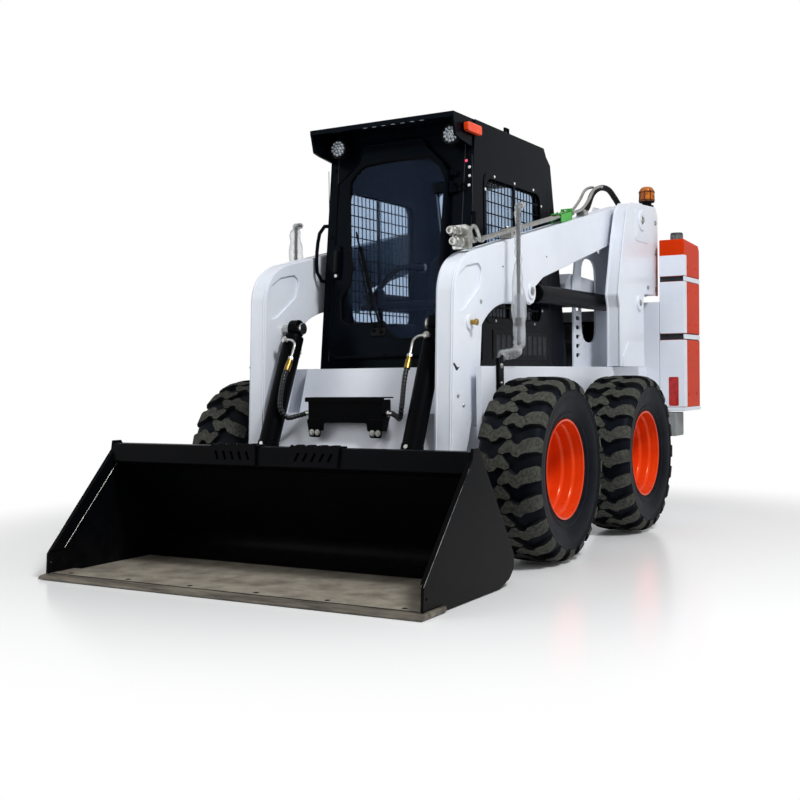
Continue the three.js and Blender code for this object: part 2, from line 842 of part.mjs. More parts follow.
function cabShell() {
  const inside = cabHalf - cabWall;
  const windowOutline = roundedRect(...sideWindow, 55);
  const shell = cut(
    slab(cabOutline, -cabHalf, cabHalf),
    slab(inset(cabOutline, cabWall), -inside, inside),
    box(-inside, inside, cabFootY + 60, cabRearFootY - 60, sillZ - 10, sillZ + 60), // open foot
    doorHole(),
    slab(windowOutline, -cabHalf - 5, cabHalf + 5),
    box(-rearWindowHalf, rearWindowHalf, 1000, 1400, ...rearWindowZ),
  );
  const knuckle = (y) =>
    join(
      barY(0, 0, 10, 0, 24).translate([hingeX, y, hingeZ]),
      box(hingeX - 8, hingeX + 22, y, y + 24, -2, hingeZ),
    );
  const knuckles = hingeAt.flatMap((y) => [knuckle(y - 24 - seat), knuckle(y + hingeLong + seat)]);
  return join(shell, knuckles.map(onFront), grabHandles());
}
piece("cab_shell", cabShell(), black());

const visorHalf = 393;
const visorPlate = 6;
const visorFront = cabHeadY - visorReach;
const visorSlotX = -129; // first of the seven slots
const visorSlotPitch = 52.3;
function visor() {
  const top = roofZ + roofThick;
  const cheek = [
    [visorFront, top],
    [visorFront + 2, top - 22],
    [visorFront + 24, 1925],
    [visorFront + 70, 1915],
    [frontAt(1899) - 0.8, 1899],
    [frontAt(roofZ - 2) - 0.8, roofZ - 2],
    [cabHeadY + 3, roofZ + 10],
    [cabHeadY + 3, top],
  ];
  const lid = join(
    box(-visorHalf, visorHalf, visorFront, cabHeadY + 3, top - visorPlate, top),
    box(-visorHalf, visorHalf, visorFront, visorFront + visorPlate, top - 22, top),
    sides.map(([, s]) => slab(cheek, s * (visorHalf - plate), s * visorHalf)),
  );
  const slot = (i) => {
    const x = visorSlotX + i * visorSlotPitch;
    return box(x - 17, x + 17, visorFront + 32, visorFront + 94, top - 20, top + 5);
  };
  return cut(lid, [0, 1, 2, 3, 4, 5, 6].map(slot));
}

function cabRoof() {
  const sheet = slab(
    [
      [cabHeadY + 2, roofZ + seat],
      [cabRearHeadY, roofZ + seat],
      [cabRearHeadY - 30, roofZ + roofThick],
      [cabHeadY + 2, roofZ + roofThick],
    ],
    -cabHalf,
    cabHalf,
  );
  const eyes = sides.map(([, s]) =>
    cut(
      box(s * 350, s * 360, 556, 606, roofZ + roofThick - 1, roofZ + roofThick + 44),
      barX(581, roofZ + roofThick + 20, 13, s * 345, s * 365, 12),
    ),
  );
  return join(sheet, visor(), workLights(roofZ + roofThick - visorPlate + 1), markerLights(), eyes);
}

const lampX = 313;
const lampZ = 1955;
function workLights(topZ) {
  return sides.map(([, s]) =>
    join(
      barY(s * lampX, lampZ, 47, 52, 98),
      box(s * lampX - 14, s * lampX + 14, 62, 86, lampZ + 30, topZ),
    ),
  );
}

function markerLights() {
  return sides.map(([, s]) =>
    join(
      box(s * (visorHalf - 1), s * (cabHalf + 3), 30, 90, 1960, 1980),
      box(s * (cabHalf + seat), s * (cabHalf + 24), 10, 156, 1954, 1996),
    ),
  );
}
piece("cab_roof", cabRoof(), black());

const sideGlass = roundedRect(...sideWindow.map((at, i) => at + (i % 2 ? -seat : seat)), 55);
for (const [name, s] of sides)
  piece(`cab_window_${name}`, slab(sideGlass, s * (cabHalf - 26), s * (cabHalf - 20)), glass());

// The rear window lies in the sloped rear wall.
const rearSlope = (cabRearFootY - cabShoulder[0]) / (cabShoulder[1] - sillZ - seat);
const rearY = (z) => cabRearFootY - (z - sillZ) * rearSlope;
const rearGlassZ = [rearWindowZ[0] + seat, rearWindowZ[1] - seat];
piece(
  "cab_window_rear",
  slab(
    [
      [rearY(rearGlassZ[0]) - 26, rearGlassZ[0]],
      [rearY(rearGlassZ[0]) - 20, rearGlassZ[0]],
      [rearY(rearGlassZ[1]) - 20, rearGlassZ[1]],
      [rearY(rearGlassZ[1]) - 26, rearGlassZ[1]],
    ],
    -rearWindowHalf + seat,
    rearWindowHalf - seat,
  ),
  glass(),
);

// ---------- cab door ----------
// Glass with a lower step towards the hinge side and a waist beside the latch.
const glassOutline = [
  [-268, 925],
  [-252, 600],
  [-228, 500],
  [-240, 415],
  [-286, 345],
  [-278, 240],
  [-240, 210],
  [-50, 216],
  [-18, 192],
  [18, 140],
  [44, 132],
  [220, 132],
  [254, 168],
  [268, 860],
  [264, 908],
  [244, 952],
  [176, 1006],
  [-30, 1013],
  [-180, 1004],
  [-222, 980],
];
function doorPanel() {
  const hinge = (y) =>
    join(
      barY(0, 0, 10, 0, hingeLong).translate([hingeX, y, hingeZ]),
      box(doorLeft - 12, hingeX, y, y + hingeLong, hingeZ - 8, hingeZ + 8),
    );
  const leaf = cut(panel(doorOutline, doorGap, doorGap + doorThick), panel(glassOutline, 0, 60));
  return join(leaf, hingeAt.map(hinge), latch(), wiper());
}

const doorFace = doorGap + doorThick;
function latch() {
  return join(
    panel(roundedRect(-324, -290, 440, 606, 14), doorFace - 1, doorFace + 12),
    box(-316, -298, 470, 580, doorFace + 8, doorFace + 30),
  );
}

// Two arms on one base, with the blade along the outer one.
function wiper() {
  const z = doorFace + 22;
  const arm = (foot, tip) => barBetween([...foot, z], [...tip, z - 8], 7);
  return join(
    panel(roundedRect(-96, -14, 150, 190, 14), doorFace - 1, z + 8),
    arm([-36, 170], [-176, 596]),
    arm([-78, 178], [-190, 560]),
    barBetween([-104, 330, z - 10], [-213, 672, z - 10], 8),
  );
}
piece("door_frame", doorPanel(), black(), frontPlane);
piece("door_glass", panel(inset(glassOutline, seat), doorGap + 10, doorGap + 16), glass(), frontPlane);

// ---------- cab interior ----------
const seatZ = 940;
const baseZ = caseTopZ + seat;
function seatBase() {
  const console = (s) =>
    join(
      box(s * 229, s * 352, 250, 700, baseZ, 1085),
      barZ(s * 276, 380, 12, 1080, 1190, 10),
      barZ(s * 276, 380, 22, 1180, 1270, 10),
    );
  return cut(
    join(box(-230, 230, 330, 860, baseZ, seatZ - 60), console(1), console(-1)),
    box(-236, 236, 240, 720, seatZ - 60, 1400),
  );
}
piece("seat_base", seatBase(), black());
function seatSolid() {
  const cushion = [
    [300, seatZ - 60 + seat],
    [760, seatZ - 60 + seat],
    [760, seatZ + 60],
    [320, seatZ + 70],
    [296, seatZ + 20],
  ];
  const back = [
    [730, seatZ + 20],
    [820, seatZ + 20],
    [900, seatZ + 520],
    [850, seatZ + 560],
    [806, seatZ + 520],
    [712, seatZ + 60],
  ];
  return join(slab(cushion, -230, 230), slab(back, -215, 215));
}
piece("operator_seat", seatSolid(), vinyl());

const barZ0 = 1180; // height of the bar over the lap
const lapBarX = 322;
function lapBar() {
  const arm = [
    [lapBarX, 925, 1440],
    [lapBarX, 620, 1400],
    [lapBarX, 330, barZ0 + 20],
    [lapBarX - 52, 240, barZ0],
  ];
  const path = [...arm, [0, 240, barZ0], ...arm.toReversed().map(([x, y, z]) => [-x, y, z])];
  const pad = (s) => box(s * (lapBarX - 10), s * (cabHalf - cabWall - seat), 900, 950, 1415, 1465);
  return join(tube(path, 16, 18), pad(1), pad(-1));
}
piece("lap_bar", lapBar(), orange());

// ---------- beacon and mirrors ----------
function beaconSolid() {
  const [x, y] = [uprightInner + postWidth / 2, 2046];
  const topSlope = (postHead[1] - postBrow[1]) / (postHead[0] - postBrow[0]);
  const foot = postHead[1] - (postHead[0] - y - 34) * topSlope + seat;
  return join(
    box(x - 34, x + 34, y - 34, y + 34, foot, foot + 12),
    barZ(x, y, 28, foot + 10, foot + 26),
    barZ(x, y, 50, foot + 24, foot + 106),
    barZ(x, y, 34, foot + 104, foot + 122),
  );
}
piece("beacon", beaconSolid(), paint(0xe07a10, 0.3));

const mirrorX = 622;
for (const [name, s] of sides) {
  const post = box(s * (fenderHalf + seat), s * (fenderHalf + 16), -96, -36, 650, 905);
  const head = slab(roundedRect(100, 128, 940, 1180, 12), s * (mirrorX - 42), s * (mirrorX + 76));
  const stem = tube(
    [
      [s * (fenderHalf + 8), -66, 894],
      [s * (fenderHalf + 10), -30, 918],
      [s * (mirrorX - 4), 40, 924],
      [s * mirrorX, 96, 940],
      [s * mirrorX, 112, 990],
      [s * mirrorX, 114, 1300],
      [s * mirrorX, 118, 1570],
      [s * mirrorX, 132, 1604],
      [s * mirrorX, 164, 1612],
    ],
    11,
    16,
  );
  piece(`mirror_${name}`, join(post, head, stem), black());
}

// ---------- tail ----------
const gateY = tailY + tailDepth + runGap;
const gateHalf = tailHalf - 14;
const gateHingeX = -(tailHalf - 20);
const gateHingeY = gateY + 54;
const gateThick = 42;
const gateHingeAt = [720, 1080];
function gateKnuckles() {
  const knuckle = (z) =>
    join(
      barZ(gateHingeX, gateHingeY, 11, z, z + 26),
      box(gateHingeX - 11, gateHingeX + 6, tailY + tailDepth - 1, gateHingeY, z, z + 26),
    );
  return gateHingeAt.flatMap((z) => [knuckle(z - 26 - seat), knuckle(z + 70 + seat)]);
}

function tailFrame() {
  const [y0, y1, topZ] = [tailY + seat, tailY + tailDepth, 1246];
  return join(
    gateKnuckles(),
    box(-tailHalf, tailHalf, y0, y1, podFootZ - 8, podFootZ + 6),
    sides.map(([, s]) => [
      box(s * (tailHalf - 36), s * tailHalf, y0, y1, podFootZ, topZ),
      box(s * (fenderInner + 36), s * tailHalf, y0, y0 + plate, podFootZ, topZ),
      box(s * (fenderInner + 36), s * tailHalf, y0, y1 + 40, topZ - 1, topZ + 14),
    ]).flat(),
  );
}
piece("tail_frame", tailFrame(), white());
piece("rear_bumper", box(-780, 780, tailY + seat, tailY + 165, 450, podFootZ - 8 - seat), paint(0x74787a, 0.5));

const podSkin = 8;
const capY = podFrontY + 90;
function tailPod(s) {
  const shell = join(
    slab(
      [
        [podFrontY + podSkin - 1, podFootZ + 20],
        [podRearY, podFootZ + 20],
        [podRearY, podHeadZ - 46],
        [podRearY - 26, podHeadZ - 16],
        [podFrontY + podSkin - 1, podHeadZ],
      ],
      s * podInner,
      s * (podInner + podWidth),
    ),
    box(s * podInner, s * (podInner + podWidth + 4), podFrontY, podFrontY + podSkin, podFootZ, podHeadZ - 96),
    box(s * podInner, s * (podInner + podWidth + 4), podFrontY, podRearY + 3, podFootZ, podFootZ + 24),
  );
  if (s < 0) return shell;
  return join(shell, barZ(podInner + 84, capY, 38, podHeadZ - 40, podHeadZ + 46));
}
for (const [name, s] of sides) piece(`tail_pod_${name}`, tailPod(s), orange());

// Tailgate on vertical hinges at its right edge.
function tailgate() {
  const hinge = (z) =>
    join(
      barZ(gateHingeX, gateHingeY, 11, z, z + 70),
      box(gateHingeX - 4, gateHingeX + 40, gateY + gateThick - 6, gateHingeY + 4, z, z + 70),
    );
  return join(
    box(-gateHalf + 30, gateHalf, gateY, gateY + gateThick, podFootZ + 10, 1238),
    gateHingeAt.map(hinge),
  );
}
piece("tailgate", tailgate(), orange());

// Engine hood between the uprights, hinged at its front edge.
const hoodHalf = bodyHalf - plate - runGap;
const hoodZ = 1290;
const hoodFrontY = 1216;
function engineHood() {
  const outline = [
    [hoodFrontY, hoodZ + 40],
    [hoodFrontY, hoodZ - 20],
    [2352, hoodZ - 20],
    [2352, hoodZ + 16],
    [2290, hoodZ + 62],
    [1290, hoodZ + 100],
  ];
  const under = [
    [hoodFrontY + plate, hoodZ + 26],
    [hoodFrontY + plate, hoodZ - 30],
    [2352 - plate, hoodZ - 30],
    [2352 - plate, hoodZ + 2],
    [2284, hoodZ + 48],
    [1292, hoodZ + 84],
  ];
  return join(
    cut(slab(outline, -hoodHalf, hoodHalf), slab(under, -hoodHalf + plate, hoodHalf - plate)),
    sides.map(([, s]) => barX(...hoodPin, hoodPinRadius, s * (hoodHalf - 2), s * (bodyHalf - 2))),
  );
}
piece("engine_hood", engineHood(), black());

// ---------- hoses of the tilt cylinders ----------
for (const [name, s] of sides) {
  const hose = tube(
    [
      [s * (stepHalf - 12 + seat), -372, 664],
      [s * (stepHalf + 14), -372, 664],
      [s * 264, -394, 652],
      [s * 300, -432, 646],
      [s * 322, -452, 700],
      [s * 322, -424, 820],
      [s * 318, -376, 905],
    ],
    12,
    12,
  );
  piece(`${name}_tilt_hose`, hose, rubber());
}

const footprintFront = bucketLipY;
const footprintRear = podRearY + 3;
machine.position.y = -(footprintFront + footprintRear) / 2;
const loader = new THREE.Group();
loader.add(machine);
export default loader;
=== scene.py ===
import math
import random

import bmesh
import bpy
from mathutils import Matrix, Vector


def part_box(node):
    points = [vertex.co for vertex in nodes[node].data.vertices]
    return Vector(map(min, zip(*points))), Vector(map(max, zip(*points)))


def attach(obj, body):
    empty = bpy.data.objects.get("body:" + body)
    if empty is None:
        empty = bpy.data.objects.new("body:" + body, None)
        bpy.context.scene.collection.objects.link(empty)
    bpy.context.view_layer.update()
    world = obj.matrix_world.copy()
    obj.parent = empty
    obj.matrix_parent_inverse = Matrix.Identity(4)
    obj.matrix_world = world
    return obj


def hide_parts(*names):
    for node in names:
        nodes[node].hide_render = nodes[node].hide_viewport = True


# Skid steer loader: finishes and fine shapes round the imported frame.
# Shapes are drawn in millimetres with Y from the front axle, and toRow puts them in the frame.
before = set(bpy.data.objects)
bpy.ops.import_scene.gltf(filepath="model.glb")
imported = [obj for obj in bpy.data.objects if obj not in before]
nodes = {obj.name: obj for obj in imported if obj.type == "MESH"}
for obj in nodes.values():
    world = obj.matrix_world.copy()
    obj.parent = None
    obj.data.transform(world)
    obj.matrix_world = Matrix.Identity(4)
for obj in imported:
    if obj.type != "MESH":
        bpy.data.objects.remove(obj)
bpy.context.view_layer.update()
random.seed(7)
scene = bpy.context.scene
scene.view_settings.view_transform = "Standard"
tyreLow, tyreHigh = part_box("tyre_front_left")
axleY = (tyreLow.y + tyreHigh.y) / 2
print("frame loaded:", len(nodes), "nodes")


def toRow(point):
    return Vector((point[0] / 1000, point[1] / 1000 + axleY, point[2] / 1000))


def middleOf(node):
    low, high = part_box(node)
    return [((a - c) * 1000 + (b - c) * 1000) / 2 for a, b, c in zip(low, high, (0, axleY, 0))]


# Shapes: a part is its points, faces and finish.
weldWithin = 0.004


# The parts of a piece; add(rod, ...) puts in what rod(...) draws.
class Parts(list):
    def add(self, draw, *how, **more):
        self.append(draw(*how, **more))


def part(verts, faces, finish, closed=True):
    mesh = bmesh.new()
    made = [mesh.verts.new(v) for v in verts]
    for face in faces:
        if len(set(face)) > 2:
            mesh.faces.new([made[i] for i in face])
    bmesh.ops.remove_doubles(mesh, verts=mesh.verts, dist=weldWithin)
    if not closed:
        bmesh.ops.dissolve_degenerate(mesh, dist=weldWithin * 0.75, edges=mesh.edges)
        bmesh.ops.holes_fill(mesh, edges=[e for e in mesh.edges if e.is_boundary], sides=0)
    bmesh.ops.recalc_face_normals(mesh, faces=mesh.faces)
    mesh.verts.index_update()
    points = [v.co.copy() for v in mesh.verts]
    loops = [[v.index for v in f.verts] for f in mesh.faces]
    mesh.free()
    return {"verts": points, "faces": loops, "finish": finish}


def mirrored(parts):
    flip = Vector((-1, 1, 1))
    return [
        {**p, "verts": [v * flip for v in p["verts"]], "faces": [f[::-1] for f in p["faces"]]} for p in parts
    ]


def moved(parts, offset):
    return [{**p, "verts": [v + Vector(offset) for v in p["verts"]]} for p in parts]


def turned(parts, matrix):
    return [{**p, "verts": [matrix @ v for v in p["verts"]]} for p in parts]


# Rounds the corners of an outline; a third number at a corner is its own radius.
def soften(points, radius=10, steps=4):
    made = []
    for i, point in enumerate(points):
        here = Vector(point[:2])
        before = Vector(points[i - 1][:2]) - here
        after = Vector(points[(i + 1) % len(points)][:2]) - here
        own = point[2] if len(point) > 2 else radius
        half = before.angle(after) / 2
        reach = min(own / math.tan(half), before.length * 0.48, after.length * 0.48)
        if reach < 0.2:
            made.append(tuple(here))
            continue
        start = here + before.normalized() * reach
        end = here + after.normalized() * reach
        for k in range(steps + 1):
            t = k / steps
            made.append(tuple(start * (1 - t) ** 2 + here * 2 * t * (1 - t) + end * t * t))
    return made


def rectangle(u0, u1, v0, v1, radius=6, steps=4):
    return soften([(u0, v0), (u1, v0), (u1, v1), (u0, v1)], radius, steps)


def disc(u, v, radius, steps=24):
    turns = [2 * math.pi * i / steps for i in range(steps)]
    return [(u + radius * math.cos(t), v + radius * math.sin(t)) for t in turns]


def arc(u, v, radius, start, end, steps=8):
    turns = [math.radians(start + (end - start) * i / steps) for i in range(steps + 1)]
    return [(u + radius * math.cos(t), v + radius * math.sin(t)) for t in turns]


# The cab's front leans back from its foot to its head.
cab = {"half": 400, "wall": 40, "footY": -4, "headY": 132, "sill": 868, "roof": 1990}
cabLean = math.atan2(cab["headY"] - cab["footY"], cab["roof"] - cab["sill"])


def frontPoint(x, up, out):
    y = cab["footY"] + up * math.sin(cabLean) - out * math.cos(cabLean)
    z = cab["sill"] + up * math.cos(cabLean) + out * math.sin(cabLean)
    return Vector((x, y, z))


# The bucket's flat back runs from its heel to its crest.
bucketHeel = Vector((-580, 118))
bucketCrest = Vector((-875, 545))
backUp = (bucketCrest - bucketHeel).normalized()
backOut = Vector((backUp.y, -backUp.x))


def backPoint(x, up, out):
    at = bucketHeel + backUp * up + backOut * out
    return Vector((x, at.x, at.y))


lays = {
    "x": lambda u, v, w: (w, u, v),
    "y": lambda u, v, w: (u, w, v),
    "z": lambda u, v, w: (u, v, w),
    "front": frontPoint,
    "back": backPoint,
}


# A flat plate with rounded edges: its outline lies across the named direction, from low to high.
def plate(outline, low, high, finish, lay="x", holes=(), edge=2.0, shrink=0.0):
    low, high = min(low, high), max(low, high)
    edge = min(edge, (high - low) * 0.45)
    curve = bpy.data.curves.new("plate", "CURVE")
    curve.dimensions = "2D"
    curve.fill_mode = "BOTH"
    for loop in [outline, *holes]:
        spline = curve.splines.new("POLY")
        spline.points.add(len(loop) - 1)
        for point, at in zip(spline.points, loop):
            point.co = (at[0], at[1], 0, 1)
        spline.use_cyclic_u = True
    curve.extrude = (high - low) / 2 - edge
    curve.bevel_depth = edge
    curve.bevel_resolution = 1
    curve.offset = -edge - shrink
    holder = bpy.data.objects.new("plate", curve)
    mesh = bpy.data.meshes.new_from_object(holder)
    middle = (low + high) / 2
    verts = [lays[lay](v.co.x, v.co.y, v.co.z + middle) for v in mesh.vertices]
    faces = [list(p.vertices) for p in mesh.polygons]
    bpy.data.objects.remove(holder)
    bpy.data.curves.remove(curve)
    bpy.data.meshes.remove(mesh)
    return part(verts, faces, finish)


def block(x0, x1, y0, y1, z0, z1, finish, edge=2.0, corner=3):
    x0, x1 = min(x0, x1), max(x0, x1)
    return plate(rectangle(x0, x1, y0, y1, corner), z0, z1, finish, "z", edge=edge)


def circle(centre, side, over, radius, steps):  # points round a centre, in the plane of two directions
    turns = [2 * math.pi * k / steps for k in range(steps)]
    return [centre + (side * math.cos(t) + over * math.sin(t)) * radius for t in turns]


# Faces between rings of points that follow one another.
def skin(rings, steps):
    faces = []
    for i in range(rings - 1):
        for k in range(steps):
            a, b = i * steps + k, i * steps + (k + 1) % steps
            faces.append([a, b, b + steps, a + steps])
    return faces


# A profile of (radius, along) turned round a line from start; open ends are closed.
def lathe(profile, start, direction, finish, steps=32):
    ahead = Vector(direction).normalized()
    side = ahead.orthogonal().normalized()
    over = ahead.cross(side)
    verts = []
    for radius, along in profile:
        verts += circle(Vector(start) + ahead * along, side, over, radius, steps)
    return part(verts, skin(len(profile), steps), finish, False)


def rod(start, end, radius, finish, steps=20, edge=1.0):
    start, end = Vector(start), Vector(end)
    length = (end - start).length
    profile = [
        (0, 0), (radius - edge, 0), (radius, edge), (radius, length - edge), (radius - edge, length),
        (0, length),
    ]
    return lathe(profile, start, end - start, finish, steps)


def hexHead(centre, direction, finish, across=17, high=8, washer=True):
    radius = across / 2 / math.cos(math.pi / 6)
    head = [(0, 0), (radius, 0), (radius, high * 0.8), (radius * 0.86, high), (0, high)]
    made = Parts()
    made.add(lathe, head, centre, direction, finish, 6)
    if washer:
        flat = [(0, 0), (across * 0.78, 0), (across * 0.82, 0.6), (across * 0.8, 1.8), (0, 2)]
        made.add(lathe, flat, centre, direction, finish, 18)
    return made


# Points of a smooth line through a few, spaced evenly enough for a tube.
def smoothPath(points, between=6):
    points = [Vector(p) for p in points]
    ends = [points[0] * 2 - points[1], *points, points[-1] * 2 - points[-2]]
    made = []
    for i in range(1, len(ends) - 2):
        a, b, c, d = ends[i - 1], ends[i], ends[i + 1], ends[i + 2]
        for k in range(between):
            t = k / between
            made.append(
                0.5 * (
                    (2 * b) + (c - a) * t + (
                        2 * a - 5 * b + 4 * c - d
                    ) * t * t + (3 * b - a - 3 * c + d) * t ** 3
                )
            )
    return [*made, points[-1]]


# A tube along a path; radii may give one radius for each point.
def tube(path, radius, finish, steps=12, radii=None):
    path = [Vector(p) for p in path]
    verts = []
    side = None
    for i, point in enumerate(path):
        ahead = (path[min(i + 1, len(path) - 1)] - path[max(i - 1, 0)]).normalized()
        side = ahead.orthogonal().normalized() if side is None else (
            side - ahead * side.dot(ahead)
        ).normalized()
        verts += circle(point, side, ahead.cross(side), radii[i] if radii else radius, steps)
    ends = [list(range(steps))[::-1], list(range(len(verts) - steps, len(verts)))]
    return part(verts, ends + skin(len(path), steps), finish)


# Joins parts to one piece, which rides on its body.
def makePiece(name, body, parts, replaces=(), slot=None, sharp=38, weighted=True):
    verts, faces, marks, skins = [], [], [], []
    for p in parts:
        if p["finish"] not in skins:
            skins.append(p["finish"])
        base = len(verts)
        verts += [toRow(v) for v in p["verts"]]
        faces += [[i + base for i in f] for f in p["faces"]]
        marks += [skins.index(p["finish"])] * len(p["faces"])
    mesh = bpy.data.meshes.new(name)
    mesh.from_pydata(verts, [], faces)
    for finish in skins:
        mesh.materials.append(finish)
    mesh.polygons.foreach_set("material_index", marks)
    mesh.polygons.foreach_set("use_smooth", [True] * len(faces))
    mesh.set_sharp_from_angle(angle=math.radians(sharp))
    piece = bpy.data.objects.new(name, mesh)
    scene.collection.objects.link(piece)
    if weighted:
        piece.modifiers.new("evened", "WEIGHTED_NORMAL").keep_sharp = True
    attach(piece, body)
    if replaces:
        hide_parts(*replaces)
    return piece


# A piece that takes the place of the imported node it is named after.
def standIn(name, body, parts, node, *more):
    return makePiece(name, body, parts, [node], node, *more)


# The same on both sides: drawn for each side, or drawn once on the left and mirrored.
def standInPair(name, body, draw, node, *more):
    for side, s in sides:
        made = draw(s) if callable(draw) else draw if s > 0 else mirrored(draw)
        standIn(name.format(side.title()), body, made, node.format(side), *more)


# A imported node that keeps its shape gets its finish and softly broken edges.
def dress(name, finish, edge=2.0):
    piece = nodes[name]
    piece.data.materials.clear()
    piece.data.materials.append(finish)
    weld = piece.modifiers.new("weld", "WELD")
    weld.merge_threshold = 0.00002
    flat = piece.modifiers.new("flat", "DECIMATE")
    flat.decimate_type = "DISSOLVE"
    flat.angle_limit = math.radians(0.6)
    bevel = piece.modifiers.new("bevel", "BEVEL")
    bevel.width = edge / 1000
    bevel.segments = 2
    bevel.limit_method = "ANGLE"
    bevel.angle_limit = math.radians(30)
    bevel.use_clamp_overlap = True
    evened = piece.modifiers.new("evened", "WEIGHTED_NORMAL")
    evened.weight = 80
    for face in piece.data.polygons:
        face.use_smooth = True
    return piece


sides = (("left", 1), ("right", -1))


# Finishes.
def linear(code, alpha=1.0):  # sRGB hex to linear colour
    raw = [int(code[i : i + 2], 16) / 255 for i in (1, 3, 5)]
    return (*[c / 12.92 if c <= 0.04045 else ((c + 0.055) / 1.055) ** 2.4 for c in raw], alpha)


def feed(node, inputs):  # an input takes a value or the output it is linked to
    for name, value in inputs.items():
        if isinstance(value, bpy.types.NodeSocket):
            node.id_data.links.new(value, node.inputs[name])
        else:
            node.inputs[name].default_value = value


def addNode(tree, kind, inputs=None, **settings):
    node = tree.nodes.new("ShaderNode" + kind)
    for name, value in settings.items():
        setattr(node, name, value)
    feed(node, inputs or {})
    return node


def perMm(size):  # texture scale for a feature of this size
    return 1000 / size


def startTree(owner):
    owner.use_nodes = True
    owner.node_tree.nodes.clear()
    return owner.node_tree


def startFinish(name, settings):
    finish = bpy.data.materials.new(name)
    tree = startTree(finish)
    shader = addNode(tree, "BsdfPrincipled", settings)
    addNode(tree, "OutputMaterial", {"Surface": shader.outputs[0]})
    return finish, tree, shader, addNode(tree, "TexCoord").outputs["Object"]


# Paint over steel: slight clouding, a fine skin texture, dust that gathers low down and on top faces.
def paintFinish(name, look):
    look = {**paintLook, **look}
    finish, tree, shader, place = startFinish(name, {
        "Metallic": 0.0,
        "Specular IOR Level": look["gloss"],
        "IOR": look["ior"],
        "Specular Tint": look["tint"],
        "Coat Weight": look["coat"],
        "Coat Roughness": 0.08,
    })
    scale = perMm(look["cloudMm"])
    cloud = addNode(tree, "TexNoise", {"Vector": place, "Scale": scale, "Detail": 4.0, "Roughness": 0.6})
    clouded = addNode(tree, "ValToRGB", {"Fac": cloud.outputs["Fac"]})
    for stop, at, colour in zip(clouded.color_ramp.elements, (0.3, 0.62), (look["shade"], look["colour"])):
        stop.position = at
        stop.color = linear(colour)
    height = addNode(tree, "SeparateXYZ", {0: place}).outputs["Z"]
    low = addNode(tree, "MapRange", {"Value": height, "From Min": look["dustTop"] / 1000, "From Max": 0.0})
    facing = addNode(tree, "SeparateXYZ", {0: addNode(tree, "NewGeometry").outputs["Normal"]}).outputs["Z"]
    ledge = addNode(tree, "MapRange", {"Value": facing, "From Min": 0.75, "From Max": 1.0, "To Max": 0.45})
    both = {0: low.outputs[0], 1: ledge.outputs[0]}
    where = addNode(tree, "Math", both, operation="ADD", use_clamp=True)
    scale = perMm(look["dustMm"])
    specks = addNode(tree, "TexNoise", {"Vector": place, "Scale": scale, "Detail": 8.0, "Roughness": 0.7})
    patchy = addNode(tree, "MapRange", {"Value": specks.outputs["Fac"], "From Min": 0.42, "From Max": 0.75})
    both = {0: where.outputs[0], 1: patchy.outputs[0]}
    amount = addNode(tree, "Math", both, operation="MULTIPLY")
    dusty = addNode(tree, "Math", {0: amount.outputs[0], 1: look["dust"]}, operation="MULTIPLY").outputs[0]
    colours = {0: dusty, 6: clouded.outputs[0], 7: linear(look["dustColour"])}
    mixed = addNode(tree, "Mix", colours, data_type="RGBA")
    bare, dull = look["rough"], min(1.0, look["rough"] + 0.35)
    rough = addNode(tree, "MapRange", {"Value": dusty, "To Min": bare, "To Max": dull})
    skin = addNode(tree, "TexNoise", {"Vector": place, "Scale": perMm(look["skinMm"]), "Detail": 3.0})
    relief = {"Height": skin.outputs["Fac"], "Strength": look["skin"], "Distance": 0.0006}
    bump = addNode(tree, "Bump", relief)
    ends = {"Base Color": mixed.outputs[2], "Roughness": rough.outputs[0], "Normal": bump.outputs[0]}
    feed(shader, ends)
    return finish


